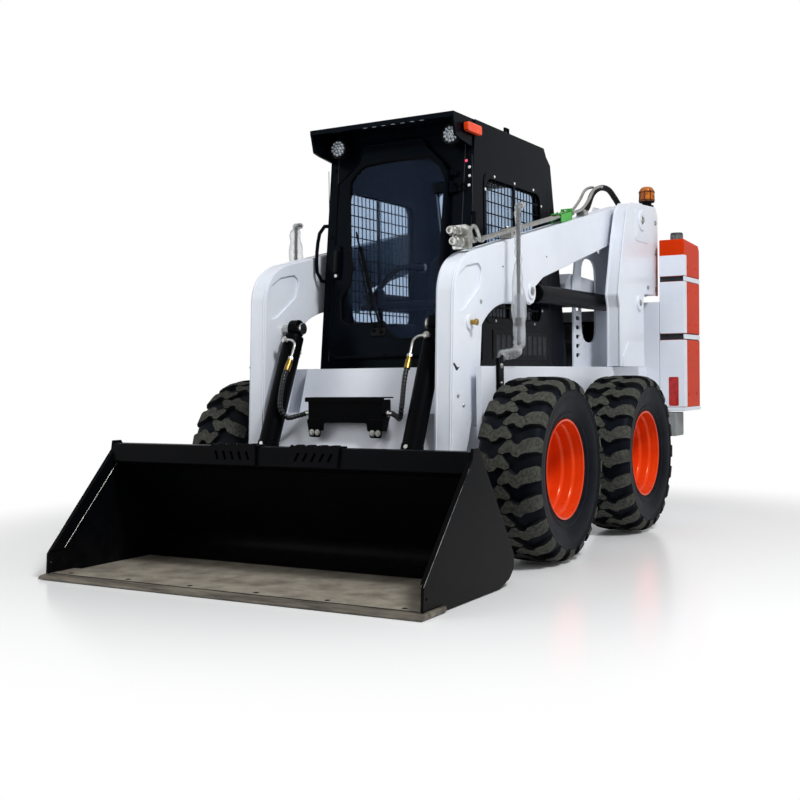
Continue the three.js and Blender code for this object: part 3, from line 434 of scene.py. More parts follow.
# What a paint has where its own row says nothing.
paintLook = dict(gloss=0.5, ior=1.5, tint=(1, 1, 1, 1), coat=0.0, skinMm=3.5, skin=0.12, dustMm=60)
paints = {
    # Two-pack enamel on steel, sprayed: bright, even, with a little orange peel.
    "whiteEnamelSprayed": dict(
        colour="#dde2eb", shade="#d2d8e3", gloss=0.35, coat=0.15, rough=0.32, cloudMm=420, dust=0.5,
        dustTop=700, dustColour="#a39a8c",
    ),
    # Powder coat, baked: near black with a fine pebble, soft sheen.
    "blackPowderCoat": dict(
        colour="#08090c", shade="#050608", ior=1.13, tint=(0.4, 0.38, 0.36, 1), rough=0.34, cloudMm=260,
        skinMm=1.6, skin=0.25, dust=0.3, dustTop=300, dustMm=70, dustColour="#26241f",
    ),
    # The cab's smoother black enamel, which shows a sharper sheen.
    "blackEnamelGloss": dict(
        colour="#060910", shade="#04060b", ior=1.12, tint=(0.38, 0.56, 0.64, 1), rough=0.22, cloudMm=300,
        skinMm=3.0, skin=0.1, dust=0.1, dustTop=900, dustMm=90, dustColour="#2a2926",
    ),
    # Orange-red enamel of the tail boxes.
    "orangeEnamelSprayed": dict(
        colour="#cc350b", shade="#bd2e08", ior=1.2, tint=(1, 0.4, 0.2, 1), rough=0.4, cloudMm=300, dust=0.3,
        dustTop=700, dustColour="#9a7b68",
    ),
    # Rim enamel: more saturated, high gloss.
    "rimEnamelGloss": dict(
        colour="#dc3c0c", shade="#c83208", tint=(1, 0.4, 0.2, 1), coat=0.08, rough=0.26, cloudMm=200,
        skinMm=4.0, skin=0.08, dust=0.45, dustTop=330, dustMm=45, dustColour="#8a6a58",
    ),
    # Satin grey of the bumper.
    "greyPaintSatin": dict(
        colour="#7f8385", shade="#6f7375", gloss=0.4, rough=0.45, cloudMm=180, skinMm=2.5, skin=0.15,
        dust=0.7, dustTop=900, dustMm=50, dustColour="#8f8473",
    ),
    # Flat engine paint on castings.
    "engineGreyCast": dict(
        colour="#3c3f41", shade="#2f3234", gloss=0.4, rough=0.55, cloudMm=60, skinMm=4.0, skin=0.6, dust=0.5,
        dustTop=1100, dustColour="#6b6255",
    ),
}
finishes = {name: paintFinish(name, look) for name, look in paints.items()}


# Rubber, plastic, plain metal and lenses: a clouded colour, its own grain and roughness.
def plainFinish(name, look):
    look = {**plainLook, **look}
    finish, tree, shader, place = startFinish(name, {
        "Metallic": look["metal"],
        "Specular IOR Level": look["gloss"],
        "IOR": look["ior"],
        "Specular Tint": look["tint"],
        "Coat Weight": look["coat"],
        "Emission Color": linear(look["glow"]),
        "Emission Strength": look["glowStrength"],
    })
    where = addNode(tree, "Mapping", {"Vector": place, "Scale": look["stretch"]}).outputs[0]
    scale = perMm(look["cloudMm"])
    cloud = addNode(tree, "TexNoise", {"Vector": where, "Scale": scale, "Detail": 6.0, "Roughness": 0.65})
    clouded = addNode(tree, "ValToRGB", {"Fac": cloud.outputs["Fac"]})
    for stop, end, colour in zip(clouded.color_ramp.elements, ("low", "high"), ("shade", "colour")):
        stop.position = look[end]
        stop.color = linear(look[colour])
    dull, shiny = look["rough"] + look["spread"], max(0.02, look["rough"] - look["spread"])
    rough = addNode(tree, "MapRange", {"Value": cloud.outputs["Fac"], "To Min": dull, "To Max": shiny})
    grain = addNode(tree, "TexNoise", {"Vector": where, "Scale": perMm(look["grainMm"]), "Detail": 4.0})
    relief = {"Height": grain.outputs["Fac"], "Strength": look["grain"], "Distance": 0.0008}
    bump = addNode(tree, "Bump", relief)
    ends = {"Base Color": clouded.outputs[0], "Roughness": rough.outputs[0], "Normal": bump.outputs[0]}
    feed(shader, ends)
    return finish


# What the other finishes have where their own rows say nothing.
plainLook = dict(
    metal=0.0, gloss=0.5, ior=1.5, tint=(1, 1, 1, 1), coat=0.0, glow="#ffffff", glowStrength=0.0,
    low=0.35, high=0.65, stretch=(1, 1, 1), spread=0.08, cloudMm=30, grainMm=1.0, grain=0.1,
)
plains = {
    # Moulded tyre rubber on the sidewall: smooth, blue-black, faintly bloomed.
    "tyreRubberMoulded": dict(
        colour="#12151b", shade="#0b0d12", ior=1.15, tint=(0.5, 0.55, 0.65, 1), rough=0.45, cloudMm=120,
        grainMm=1.2, grain=0.2,
    ),
    # Tread rubber with road dust in its pores.
    "treadRubberDusty": dict(
        colour="#4a4b45", shade="#2c2d29", ior=1.2, rough=0.85, cloudMm=14, grainMm=2.0, grain=0.6
    ),
    "treadRubberDark": dict(
        colour="#16171a", shade="#0c0d10", ior=1.15, rough=0.75, cloudMm=60, grainMm=1.6, grain=0.4
    ),
    # Hard chrome on cylinder rods: ground and polished round the bar.
    "chromeGround": dict(
        colour="#d9dce0", shade="#c6cace", metal=1.0, rough=0.1, spread=0.03, cloudMm=80, grainMm=0.8,
        grain=0.05,
    ),
    # Zinc plate on couplers and tubes: pale, slightly milky.
    "zincPlated": dict(colour="#c9c9c4", shade="#9a9b98", metal=1.0, rough=0.3, cloudMm=18, grain=0.15),
    # Brass fittings.
    "brassFitting": dict(colour="#b08d4a", shade="#7b6230", metal=1.0, rough=0.32, cloudMm=14),
    # Steel worn by soil: brown-grey film, darker stains.
    "soilWornSteel": dict(
        colour="#8f897d", shade="#69635a", ior=1.25, rough=0.7, cloudMm=130, grainMm=2.4, grain=0.5, low=0.32,
        high=0.6,
    ),
    # Cutting edge, scraped along its length.
    "scrapedEdgeSteel": dict(
        colour="#7d766a", shade="#3c3832", metal=0.25, gloss=0.4, rough=0.6, cloudMm=90, grainMm=3.0,
        grain=0.6, stretch=(0.35, 2.5, 2.5),
    ),
    # Bright line where paint has rubbed off an edge, also a painted highlight along that edge.
    "rubbedSteelAndPaintedHighlight": dict(colour="#c8c6c0", shade="#8d8a84", metal=0.7, rough=0.4, cloudMm=16, grain=0.2),
    # Hose cover: synthetic rubber, extruded.
    "hoseRubberExtruded": dict(
        colour="#101012", shade="#0a0a0c", ior=1.25, rough=0.55, grainMm=1.2, grain=0.3
    ),
    # Spiral guard: hard plastic strip round a hose.
    "spiralGuardPlastic": dict(colour="#15161a", shade="#0e0f12", gloss=0.35, rough=0.32, cloudMm=25),
    # Textured ABS of mirror backs, grips and lamp housings.
    "absBlackTextured": dict(
        colour="#0f1012", shade="#0a0b0c", ior=1.2, rough=0.5, cloudMm=40, grainMm=0.9, grain=0.35
    ),
    # Rubber glazing strip.
    "gasketRubber": dict(colour="#090a0c", shade="#060708", ior=1.15, rough=0.7, grain=0.2),
    # Amber beacon lens: its faint glow is painted light that brightens the lens.
    "amberLensMouldedPaintedGlow": dict(
        colour="#c8700e", shade="#6e3604", gloss=0.4, rough=0.12, coat=0.3, cloudMm=16, grainMm=6.0,
        grain=0.3, glow="#ff6a08", glowStrength=0.04,
    ),
    # Orange marker lens: its glow is painted light that keeps the lens bright in shade.
    "orangeLensMouldedPaintedGlow": dict(
        colour="#e8480e", shade="#c03206", rough=0.15, coat=0.3, grainMm=6.0, grain=0.2, glow="#ff4a08",
        glowStrength=0.06,
    ),
    "redLensMoulded": dict(colour="#c01a12", shade="#8f0f0a", rough=0.15, coat=0.5, grainMm=5.0),
    # Lamp reflector: its grey glow is painted light that lifts it out of the shade under the roof's front
    # edge.
    "lampReflectorPaintedGlow": dict(
        colour="#cfd6dd", shade="#6f777e", metal=0.6, rough=0.2, glow="#8e979f", glowStrength=0.12, cloudMm=6,
        grainMm=3.0, grain=0.3,
    ),
    "ledPinkLens": dict(
        colour="#e04a6a", shade="#b02a48", rough=0.2, cloudMm=10, grainMm=2.0, glow="#ff4a70",
        glowStrength=0.5,
    ),
    "whiteSmallParts": dict(colour="#e8eaec", shade="#c8cacc", rough=0.35, cloudMm=20),
    # Green clamp over the tubes.
    "greenPaintedClamp": dict(
        colour="#3fae3a", shade="#2f8f2c", rough=0.35, cloudMm=40, grainMm=2.0, grain=0.15
    ),
    "mirrorGlass": dict(
        colour="#d5dade", shade="#cdd2d6", metal=1.0, rough=0.04, spread=0.01, cloudMm=200, grainMm=20,
        grain=0.01,
    ),
    # Dark sealer of joints and seams; the same finish also makes painted shade, as in the arm's crescent hand
    # slot.
    "jointSealerAndPaintedShade": dict(colour="#2b2e33", shade="#191b1f", gloss=0.3, rough=0.7, grainMm=2.0, grain=0.3),
}
finishes.update({name: plainFinish(name, look) for name, look in plains.items()})


# Tinted safety glass: dark blue-grey, clear and very smooth.
def tintedGlass():
    finish, tree, shader, place = startFinish("safetyGlassTinted", {
        "Base Color": linear("#c6d3e2"),
        "Transmission Weight": 1.0,
        "IOR": 1.2,
        "Specular IOR Level": 0.25,
        "Specular Tint": (0.2, 0.33, 0.6, 1.0),
        "Roughness": 0.0,
    })
    wave = addNode(tree, "TexNoise", {"Vector": place, "Scale": perMm(700)}).outputs["Fac"]
    bump = addNode(tree, "Bump", {"Height": wave, "Strength": 0.03, "Distance": 0.002})
    feed(shader, {"Normal": bump.outputs[0]})
    return finish


# Clear film wound round the mirror arms: crinkled, with bright folds.
def clearWrap():
    finish, tree, shader, place = startFinish("clearFilmWrapped", {
        "Base Color": linear("#eef2f5"),
        "Transmission Weight": 0.75,
        "IOR": 1.3,
        "Roughness": 0.12,
        "Alpha": 0.6,
    })
    folds = addNode(tree, "TexVoronoi", {"Vector": place, "Scale": perMm(26)}, feature="DISTANCE_TO_EDGE")
    fine = addNode(tree, "TexNoise", {"Vector": place, "Scale": perMm(14), "Detail": 5.0, "Distortion": 1.6})
    both = {0: folds.outputs["Distance"], 1: fine.outputs["Fac"]}
    height = addNode(tree, "Math", both, operation="ADD").outputs[0]
    bump = addNode(tree, "Bump", {"Height": height, "Strength": 0.9, "Distance": 0.006})
    feed(shader, {"Normal": bump.outputs[0]})
    return finish


# Seat vinyl: calendered, with a leather grain of about 2 mm cells.
def seatVinyl():
    finish, tree, shader, place = startFinish("vinylCalendered", {"IOR": 1.25, "Sheen Weight": 0.05})
    cloud = addNode(tree, "TexNoise", {"Vector": place, "Scale": perMm(90), "Detail": 4.0}).outputs["Fac"]
    clouded = addNode(tree, "ValToRGB", {"Fac": cloud})
    for stop, colour in zip(clouded.color_ramp.elements, ("#141416", "#232326")):
        stop.color = linear(colour)
    rough = addNode(tree, "MapRange", {"Value": cloud, "To Min": 0.62, "To Max": 0.46})
    grain = addNode(tree, "TexVoronoi", {"Vector": place, "Scale": perMm(2.4)}, feature="DISTANCE_TO_EDGE")
    relief = {"Height": grain.outputs["Distance"], "Strength": 0.35, "Distance": 0.0007}
    bump = addNode(tree, "Bump", relief)
    ends = {"Base Color": clouded.outputs[0], "Roughness": rough.outputs[0], "Normal": bump.outputs[0]}
    feed(shader, ends)
    return finish


glass, film, vinyl = tintedGlass(), clearWrap(), seatVinyl()
white = finishes["whiteEnamelSprayed"]
black = finishes["blackPowderCoat"]
cabBlack = finishes["blackEnamelGloss"]
orange = finishes["orangeEnamelSprayed"]
castGrey = finishes["engineGreyCast"]
satinGrey = finishes["greyPaintSatin"]
chrome = finishes["chromeGround"]
zinc = finishes["zincPlated"]
brass = finishes["brassFitting"]
plastic = finishes["absBlackTextured"]
hoseBlack = finishes["hoseRubberExtruded"]
gasket = finishes["gasketRubber"]
sealerAndPaintedShade = finishes["jointSealerAndPaintedShade"]
soil = finishes["soilWornSteel"]
bareSteelAndPaintedHighlight = finishes["rubbedSteelAndPaintedHighlight"]
scraped = finishes["scrapedEdgeSteel"]
smallWhite = finishes["whiteSmallParts"]
redLens = finishes["redLensMoulded"]
orangeLensGlowPainted = finishes["orangeLensMouldedPaintedGlow"]
amberLensGlowPainted = finishes["amberLensMouldedPaintedGlow"]
print("finishes made:", len(finishes) + 3)


# Camera, floor and light.
stageLook = {"lens": 51.05, "place": (2.761, -5.1945, 0.823), "yaw": 30.093, "pitch": -1.141, "roll": -0.693}


def makeCamera(look):
    yaw, pitch, roll = (math.radians(look[k]) for k in ("yaw", "pitch", "roll"))
    ahead = Vector((-math.sin(yaw) * math.cos(pitch), math.cos(yaw) * math.cos(pitch), math.sin(pitch)))
    right = Vector((math.cos(yaw), math.sin(yaw), 0))
    up = right.cross(ahead)
    rolledRight = right * math.cos(roll) + up * math.sin(roll)
    rolledUp = up * math.cos(roll) - right * math.sin(roll)
    camera = bpy.data.objects.new("camera", bpy.data.cameras.new("camera"))
    camera.data.lens = look["lens"]
    camera.data.sensor_width = 36
    turn = Matrix((rolledRight, rolledUp, -ahead)).transposed().to_4x4()
    camera.matrix_world = Matrix.Translation(look["place"]) @ turn
    scene.collection.objects.link(camera)
    scene.camera = camera


def makeFloor():
    mesh = bpy.data.meshes.new("floor")
    reach = 40
    corners = [(-reach, -reach, 0), (reach, -reach, 0), (reach, reach, 0), (-reach, reach, 0)]
    mesh.from_pydata(corners, [], [(0, 1, 2, 3)])
    floor = bpy.data.objects.new("floor", mesh)
    floor.location.z = -0.0015
    scene.collection.objects.link(floor)
    look = {"Base Color": linear("#f6f7f8"), "Roughness": 0.2, "Specular IOR Level": 0.35}
    finish, tree, shader, place = startFinish("paleFloorPolished", look)
    # Near the machine the floor is real and takes its shadow; farther out it turns plain white.
    spread = addNode(tree, "VectorMath", {0: place}, operation="LENGTH").outputs["Value"]
    far = {"Value": spread, "From Min": 1.9, "From Max": 3.3}
    fade = addNode(tree, "MapRange", far, interpolation_type="SMOOTHSTEP")
    both = {0: fade.outputs[0], 1: addNode(tree, "LightPath").outputs["Is Camera Ray"]}
    amount = addNode(tree, "Math", both, operation="MULTIPLY").outputs[0]
    plain = addNode(tree, "Emission", {"Color": (1, 1, 1, 1), "Strength": 1.0}).outputs[0]
    mixed = addNode(tree, "MixShader", {0: amount, 1: shader.outputs[0], 2: plain})
    feed(tree.nodes["Material Output"], {"Surface": mixed.outputs[0]})
    mesh.materials.append(finish)


def makeWorld():
    scene.world = bpy.data.worlds.new("studio")
    tree = startTree(scene.world)
    path = addNode(tree, "LightPath").outputs
    glossy = addNode(tree, "Math", {0: path["Is Glossy Ray"], 1: 0.25}, operation="MULTIPLY").outputs[0]
    shown = addNode(tree, "Math", {0: path["Is Camera Ray"], 1: glossy}, operation="MAXIMUM").outputs[0]
    shown = addNode(tree, "Math", {0: shown, 1: path["Is Transmission Ray"]}, operation="MAXIMUM").outputs[0]
    bright = addNode(tree, "MapRange", {"Value": shown, "To Min": 0.5}).outputs[0]
    sky = addNode(tree, "Background", {"Color": (1, 1, 1, 1), "Strength": bright})
    addNode(tree, "OutputWorld", {"Surface": sky.outputs[0]})


lamps = {
    "key": dict(place=(4.7, -2.5, 6.4), aim=(0.2, 0, 0.9), size=1.3, power=430),
    "fill": dict(place=(-3.5, -5.5, 2.6), aim=(0, -0.6, 0.6), size=3.5, power=60),
}


def makeLamp(name, look):
    lamp = bpy.data.lights.new(name, "AREA")
    lamp.size = look["size"]
    lamp.energy = look["power"]
    holder = bpy.data.objects.new(name, lamp)
    holder.location = look["place"]
    ahead = Vector(look["aim"]) - Vector(look["place"])
    holder.rotation_euler = ahead.to_track_quat("-Z", "Y").to_euler()
    scene.collection.objects.link(holder)


makeCamera(stageLook)
makeFloor()
makeWorld()
for name, look in lamps.items():
    makeLamp(name, look)
print("camera, floor and lights placed")


# Wheels: built round the X axis with the outside towards +X.
tyre = {
    "lugs": 20,  # in each of the two rows
    "drawnAt": 400,  # radius at which distances round the tyre are meant
    # along the axle, offset round the tyre, half width, top (along, radius), foot (along, radius)
    "lug": [
        (-26, 24, 8, (-26, 408), (-26, 382)),
        (-8, 18, 22, (-8, 409.5), (-8, 382)),
        (6, 6, 27, (6, 409.8), (6, 382)),
        (26, 2, 27, (26, 409.8), (26, 382)),
        (42, 18, 27, (42, 409.4), (42, 381)),
        (64, 22, 28, (64, 409), (64, 380)),
        (78, 6, 30, (78, 408), (78, 379)),
        (98, -2, 32, (98, 405.5), (98, 374)),
        (118, -6, 33, (118, 401), (113, 367)),
        (136, -12, 34, (136, 390), (128, 356)),
        (147.5, -12, 33, (147.5, 372), (134, 346)),
        (148.5, -10, 30, (148.5, 352), (138, 340)),
    ],
    "carcass": [
        (211, 98), (219, 110), (232, 117), (240, 121), (245, 125.5), (250, 126), (255, 123), (276, 133),
        (300, 140), (322, 143), (336, 143.5), (341, 146.5), (347, 147), (351, 144), (366, 139), (378, 124),
        (385, 104), (387, 60), (388, 0),
    ],
}
rim = {
    "profile": [
        (0, -38), (44, -38), (50, -41), (52, -46), (92, -46), (95, -50), (104, -54), (128, -56), (148, -60),
        (160, -59), (170, -52), (177, -40), (181, -24), (184, -16), (184, 14), (188, 22), (195, 28),
        (197, 34), (197, 62), (200, 70), (206, 76), (208, 84), (208, 98), (211, 106), (217, 110),
        (221.5, 113), (222, 117), (219, 118), (213, 116), (209.9, 104), (209.9, -104), (222, -112),
        (222, -117), (218, -118), (206, -106), (203, -92), (201, -72), (150, -68), (90, -70), (90, -76),
        (0, -76),
    ],
    "nuts": 8,
    "nutCircle": 73,
}


def onTyre(along, around, radius):
    angle = around / tyre["drawnAt"]
    return Vector((along, radius * math.cos(angle), radius * math.sin(angle)))


# Six points across a lug at one place along the axle: foot, two at each top edge, foot.
def lugSection(row, turn, drift, half, top, foot, wear):
    a, b = turn + drift - half, turn + drift + half
    high = top[1] + wear
    low = top[1] - 5 + wear
    crown = [
        onTyre(top[0] * row, *at) for at in ((a - 1.5, low), (a + 1.5, high), (b - 1.5, high), (b + 1.5, low))
    ]
    return [onTyre(foot[0] * row, a - 6, foot[1]), *crown, onTyre(foot[0] * row, b + 6, foot[1])]


# The worn tops and the darker flanks of the lugs share their points.
def lugParts():
    tops, flanks = ([], []), ([], [])
    for row in (1, -1):
        for k in range(tyre["lugs"]):
            turn = (k + (0.5 if row < 0 else 0)) * (2 * math.pi / tyre["lugs"]) * tyre["drawnAt"]
            wear = random.uniform(-0.6, 0)
            rings = [lugSection(row, turn, *section[1:], wear) for section in tyre["lug"]]
            for (verts, faces), columns in ((tops, (2, 3)), (flanks, (0, 1, 2)), (flanks, (3, 4, 5))):
                base = len(verts)
                n = len(columns)
                for ring in rings:
                    verts += [ring[c] for c in columns]
                for i in range(len(rings) - 1):
                    for a in range(base + i * n, base + i * n + n - 1):
                        faces.append([a, a + 1, a + 1 + n, a + n])
            for ring in (rings[0], rings[-1]):
                flanks[1].append([len(flanks[0]) + i for i in range(6)])
                flanks[0].extend(ring)
    mesh = bmesh.new()
    points = [mesh.verts.new(v) for v in tops[0] + flanks[0]]
    faces = tops[1] + [[i + len(tops[0]) for i in f] for f in flanks[1]]
    for i, f in enumerate(faces):
        mesh.faces.new([points[j] for j in f]).material_index = 0 if i < len(tops[1]) else 1
    bmesh.ops.remove_doubles(mesh, verts=mesh.verts, dist=0.01)
    bmesh.ops.recalc_face_normals(mesh, faces=mesh.faces)
    mesh.verts.index_update()
    verts = [v.co.copy() for v in mesh.verts]
    made = []
    for mark, name in enumerate(("treadRubberDusty", "treadRubberDark")):
        loops = [[v.index for v in f.verts] for f in mesh.faces if f.material_index == mark]
        made.append({"verts": verts, "faces": loops, "finish": finishes[name]})
    mesh.free()
    return made


def tyreParts():
    outer = tyre["carcass"]
    profile = [*outer, *[(r, -t) for r, t in outer[-2::-1]], (211, -98), (211, 98)]
    return [lathe(profile, (0, 0, 0), (1, 0, 0), finishes["tyreRubberMoulded"], 80), *lugParts()]


def rimParts():
    made = Parts()
    made.add(lathe, rim["profile"], (0, 0, 0), (1, 0, 0), finishes["rimEnamelGloss"], 72)
    for k in range(rim["nuts"]):
        t = 2 * math.pi * (k + 0.5) / rim["nuts"]
        at = (-46, rim["nutCircle"] * math.cos(t), rim["nutCircle"] * math.sin(t))
        made += hexHead(at, (1, 0, 0), zinc, 24, 16)
        made.add(rod, (-34, at[1], at[2]), (-20, at[1], at[2]), 7, zinc, 12)
    valve = math.radians(118)
    at = Vector((34, 186 * math.cos(valve), 186 * math.sin(valve)))
    toAxis = Vector((0.75, -math.cos(valve), -math.sin(valve)))
    made.add(rod, at, at + toAxis.normalized() * 30, 6, gasket, 12)
    made.add(rod, at + toAxis.normalized() * 28, at + toAxis.normalized() * 42, 4.5, brass, 12)
    return made


rubberParts, metalParts = tyreParts(), rimParts()
half = Matrix.Rotation(math.pi, 3, "Z")
for end in ("front", "rear"):
    for side, s in sides:
        hub = middleOf(f"tyre_{end}_{side}")
        for kind, parts, more in (("tyre", rubberParts, (40, False)), ("rim", metalParts, (30,))):
            placed = moved(parts if s > 0 else turned(parts, half), hub)
            name = f"{kind}{end.title()}{side.title()}"
            standIn(name, f"wheel_{end}_{side}", placed, f"{kind}_{end}_{side}", *more)
print("wheels built")


# Bucket.
bucket = {
    "half": 914,
    "sheet": 12,
    "lipY": -1360,
    "edgeDepth": 180,
    "stepFrom": 80,
    "stepTo": 322,
    "teeth": 9,
    "bolts": 6,
}


# A bent sheet: an outline of this thickness to the left of its path.
def bentSheet(path, thick):
    path = [Vector(p) for p in path]
    inner = []
    for i, at in enumerate(path):
        ahead = (path[min(i + 1, len(path) - 1)] - path[max(i - 1, 0)]).normalized()
        inner.append(at + Vector((-ahead.y, ahead.x)) * thick)
    return [tuple(p) for p in path] + [tuple(p) for p in reversed(inner)]


heelCurve = [(-717, 2), (-690, 4), (-656, 13), (-624, 28), (-604, 44), (-588, 66), (-580, 92), (-580, 118)]


def bucketParts():
    b = bucket
    inside = b["half"] - 2 * b["sheet"] - 0.6
    floorFront = b["lipY"] + b["edgeDepth"]
    made = Parts()
    back = bentSheet([*heelCurve, (-588, 136), tuple(bucketCrest - backUp * 6)], b["sheet"])
    made.add(plate, back, -inside, inside, black, edge=2)
    made.add(
        plate, [(floorFront, 2), (-716, 2), (-716, 14), (floorFront, 14)], -inside, inside, soil, edge=1.5
    )
    # Box rail along the top, with its front face leaning forward.
    rail = soften([(-876, 545), (-937, 545, 8), (-953, 465, 6), (-884, 442), (-866, 480)], 5)
    made.add(plate, rail, -inside, inside, black, edge=2)
    weld = [backPoint(0, 470, -b["sheet"] - 1), backPoint(0, 60, -b["sheet"] - 1)]
    for s in (1, -1):
        line = [Vector((s * (inside - 3), p[1], p[2])) for p in weld]
        made.add(tube, smoothPath(line, 12), 5, black, 8)
    # Two steps on the rail: a serrated tread and slanting slots in its face.
    for s in (1, -1):
        x0, x1 = b["stepFrom"], b["stepTo"]
        pitch = (x1 - x0) / b["teeth"]
        outline = [(s * x0, 470), (s * x1, 470)]
        for k in range(b["teeth"]):
            x = x1 - k * pitch
            outline += [(s * x, 548), (s * (x - pitch * 0.35), 557), (s * (x - pitch * 0.62), 557)]
        slots = []
        for k in range(5):
            x = x0 + 34 + k * 40
            slots.append([(s * (x - 4), 492), (s * (x + 8), 490), (s * (x + 24), 524), (s * (x + 12), 526)])
        tread = plate(outline, 943, 951, black, "y", slots, edge=1)
        leaned = [Vector((v.x, -v.y + (545 - v.z) * -0.2, v.z)) for v in tread["verts"]]
        made.append({**tread, "verts": leaned})
        top = [(s * x0, -884), (s * x1, -884), (s * x1, -944), (s * x0, -944)]
        holes = [disc(s * (x0 + 34 + k * 58), -914, 15, 16) for k in range(4)]
        made.add(plate, soften(top, 6), 545, 552, black, "z", holes, edge=1)
        for k in range(4):
            ring = [(15, 0), (19, 0), (17, 5), (15, 5), (15, 0)]
            made.add(lathe, ring, (s * (x0 + 34 + k * 58), -914, 551), (0, 0, 1), black, 16)
    # Wear strips under the floor.
    for x in (-600, -300, 0, 300, 600):
        made.add(block, x - 30, x + 30, floorFront + 8, -740, 0.6, 3, scraped, 0.6)
    return made


def sideParts(s):
    b = bucket
    outline = soften([
        (b["lipY"] + 32, 22.5, 2), (b["lipY"] + 180, 22.5, 1), (b["lipY"] + 180, 2, 1), (-717, 2, 30),
        (-624, 28, 60),
        (-588, 60, 40), (-580, 118, 30), (-875, 545, 4), (-884, 557, 3), (-932, 557, 3), (-939, 519, 10),
        (b["lipY"] + 38, 104, 10),
    ], 4, 5)
    x0, x1 = s * (b["half"] - 24), s * (b["half"] - 12)
    hole = disc(b["lipY"] + 56, 66, 5, 12)
    made = Parts()
    made.add(plate, outline, x0, x1, black, holes=[hole], edge=2)
    # Cutter bar along the inner side of the front edge, with a bright line on its edge that is rubbed steel
    # and a painted highlight.
    low, high = Vector((b["lipY"] + 46, 118)), Vector((-944, 512))
    along = (high - low).normalized()
    inward = Vector((along.y, -along.x)) * 52
    foot = low + along * 46
    bar = [tuple(low + inward * 0.06), tuple(high), tuple(high + inward), tuple(foot + inward)]
    made.add(plate, bar, s * (b["half"] - 24.5), s * (b["half"] - 33), black, edge=1.5)
    rubAndHighlight = [foot + inward * 1.01 + along * 6, high + inward * 1.01 - along * 10]
    path = [Vector((s * (b["half"] - 33.2), p.x, p.y)) for p in rubAndHighlight]
    made.add(
        tube, [path[0].lerp(path[1], k / 24) for k in range(25)], 0.9, bareSteelAndPaintedHighlight, 6,
        [0.5 + 0.7 * random.random() for k in range(25)],
    )
    # A bright line down the side plate's front edge: rubbed steel and a painted highlight.
    front = [
        Vector((s * (b["half"] - 12.6), b["lipY"] + 38.6, 108)), Vector((s * (b["half"] - 12.6), -938.6, 516))
    ]
    made.add(
        tube, [front[0].lerp(front[1], k / 24) for k in range(25)], 0.8, bareSteelAndPaintedHighlight, 6,
        [0.3 + 0.5 * random.random() for k in range(25)],
    )
    return made


def edgeParts():
    b = bucket
    y0, y1 = b["lipY"], b["lipY"] + b["edgeDepth"]
    outline = [(y0, 2), (y1, 2), (y1, 22), (y0 + 46, 22), (y0 + 42, 19), (y0 + 9, 15), (y0, 6)]
    made = Parts()
    made.add(plate, outline, -b["half"], b["half"], scraped, edge=1)
    film = [(y0 + 50, 21.6), (y1 - 0.5, 21.6), (y1 - 0.5, 22.4), (y0 + 50, 22.4)]
    made.add(plate, film, -b["half"] + 36, b["half"] - 36, soil, edge=0.3)
    groove = [(y0 + 44, 21.8), (y0 + 49, 21.8), (y0 + 49, 22.6), (y0 + 44, 22.6)]
    made.add(plate, groove, -b["half"] + 40, b["half"] - 40, sealerAndPaintedShade, edge=0.3)
    for k in range(b["bolts"]):
        x = (k - (b["bolts"] - 1) / 2) * (2 * b["half"] - 220) / (b["bolts"] - 1)
        cup = [(0, 22.45), (7, 22.4), (10.5, 22.9), (11.5, 22.4), (11.5, 21), (0, 21)]
        made.add(lathe, cup, (x, y0 + 78, 0), (0, 0, 1), gasket, 16)
    return made


standIn("bucketShellPainted", "bucket", bucketParts(), "bucket_shell")
standIn("bucketEdgeScraped", "bucket", edgeParts(), "bucket_cutting_edge")
standInPair("bucketSide{}Painted", "bucket", sideParts, "bucket_side_{}")

dress("quick_coupler", black, 2.5)


# Locking levers and ribs of the coupler plate.
def couplerTrim():
    made = Parts()
    for s in (1, -1):
        made.add(plate, rectangle(s * 250, s * 226, 60, 330, 4), 17.5, 34, black, "back", edge=2)
        made.add(plate, rectangle(s * 480, s * 440, 250, 392, 5), 17.5, 29, black, "back", edge=2)
        pivotAt = backPoint(s * 300, 340, 17.4)
        made.add(
            lathe, [(0, 0), (26, 0), (26, 12), (23, 15), (0, 15)], pivotAt, (0, backOut.x, backOut.y), black,
            24,
        )
        made += hexHead(backPoint(s * 300, 340, 32), (0, backOut.x, backOut.y), zinc, 19, 9)
        made.add(
            tube,
            smoothPath(
                [backPoint(s * 300, 344, 26), backPoint(s * 270, 372, 30), backPoint(s * 214, 384, 34)], 6
            ),
            9, black,
        )
        for up in (90, 170, 250):
            made += hexHead(backPoint(s * 544, up, 17.2), (0, backOut.x, backOut.y), zinc, 17, 8)
    return made


makePiece("couplerLevers", "bucket", couplerTrim(), slot="quick_coupler")
print("bucket built")


# Lift arms.
arm = {
    "inner": 452,
    "outer": 542,
    "cheek": 15,
    "pivot": (1810, 1725),
    "pivotPin": 30,
    "endRadius": 98,
    "liftEye": (440, 1235),
    "bucketPin": (-490, 180),
    "tiltTop": (-235, 1060),
    "tiltX": 380,
    "skin": 9,
    "recess": [
        (-344, 1222, 60), (-316, 1263, 30), (-250, 1302, 40), (-139, 1322, 24), (-106, 1303, 24),
        (-133, 1221, 60), (-288, 1119, 22), (-338, 1108, 26),
    ],
}
armMid = (arm["inner"] + arm["outer"]) / 2
topAngle = 102.8
beamEnd = (
    arm["pivot"][0] + arm["endRadius"] * math.cos(math.radians(topAngle)),
    arm["pivot"][1] + arm["endRadius"] * math.sin(math.radians(topAngle)),
)
kneeTop = (-171, 1380)
beamRise = (beamEnd[1] - kneeTop[1]) / (beamEnd[0] - kneeTop[0])


def armTop(y):
    return kneeTop[1] + (y - kneeTop[0]) * beamRise


def bend(a, b, c, steps=8):  # a quadratic curve, without its first point
    made = []
    for k in range(1, steps + 1):
        t = k / steps
        made.append(tuple(a[i] * (1 - t) ** 2 + 2 * b[i] * t * (1 - t) + c[i] * t * t for i in (0, 1)))
    return made


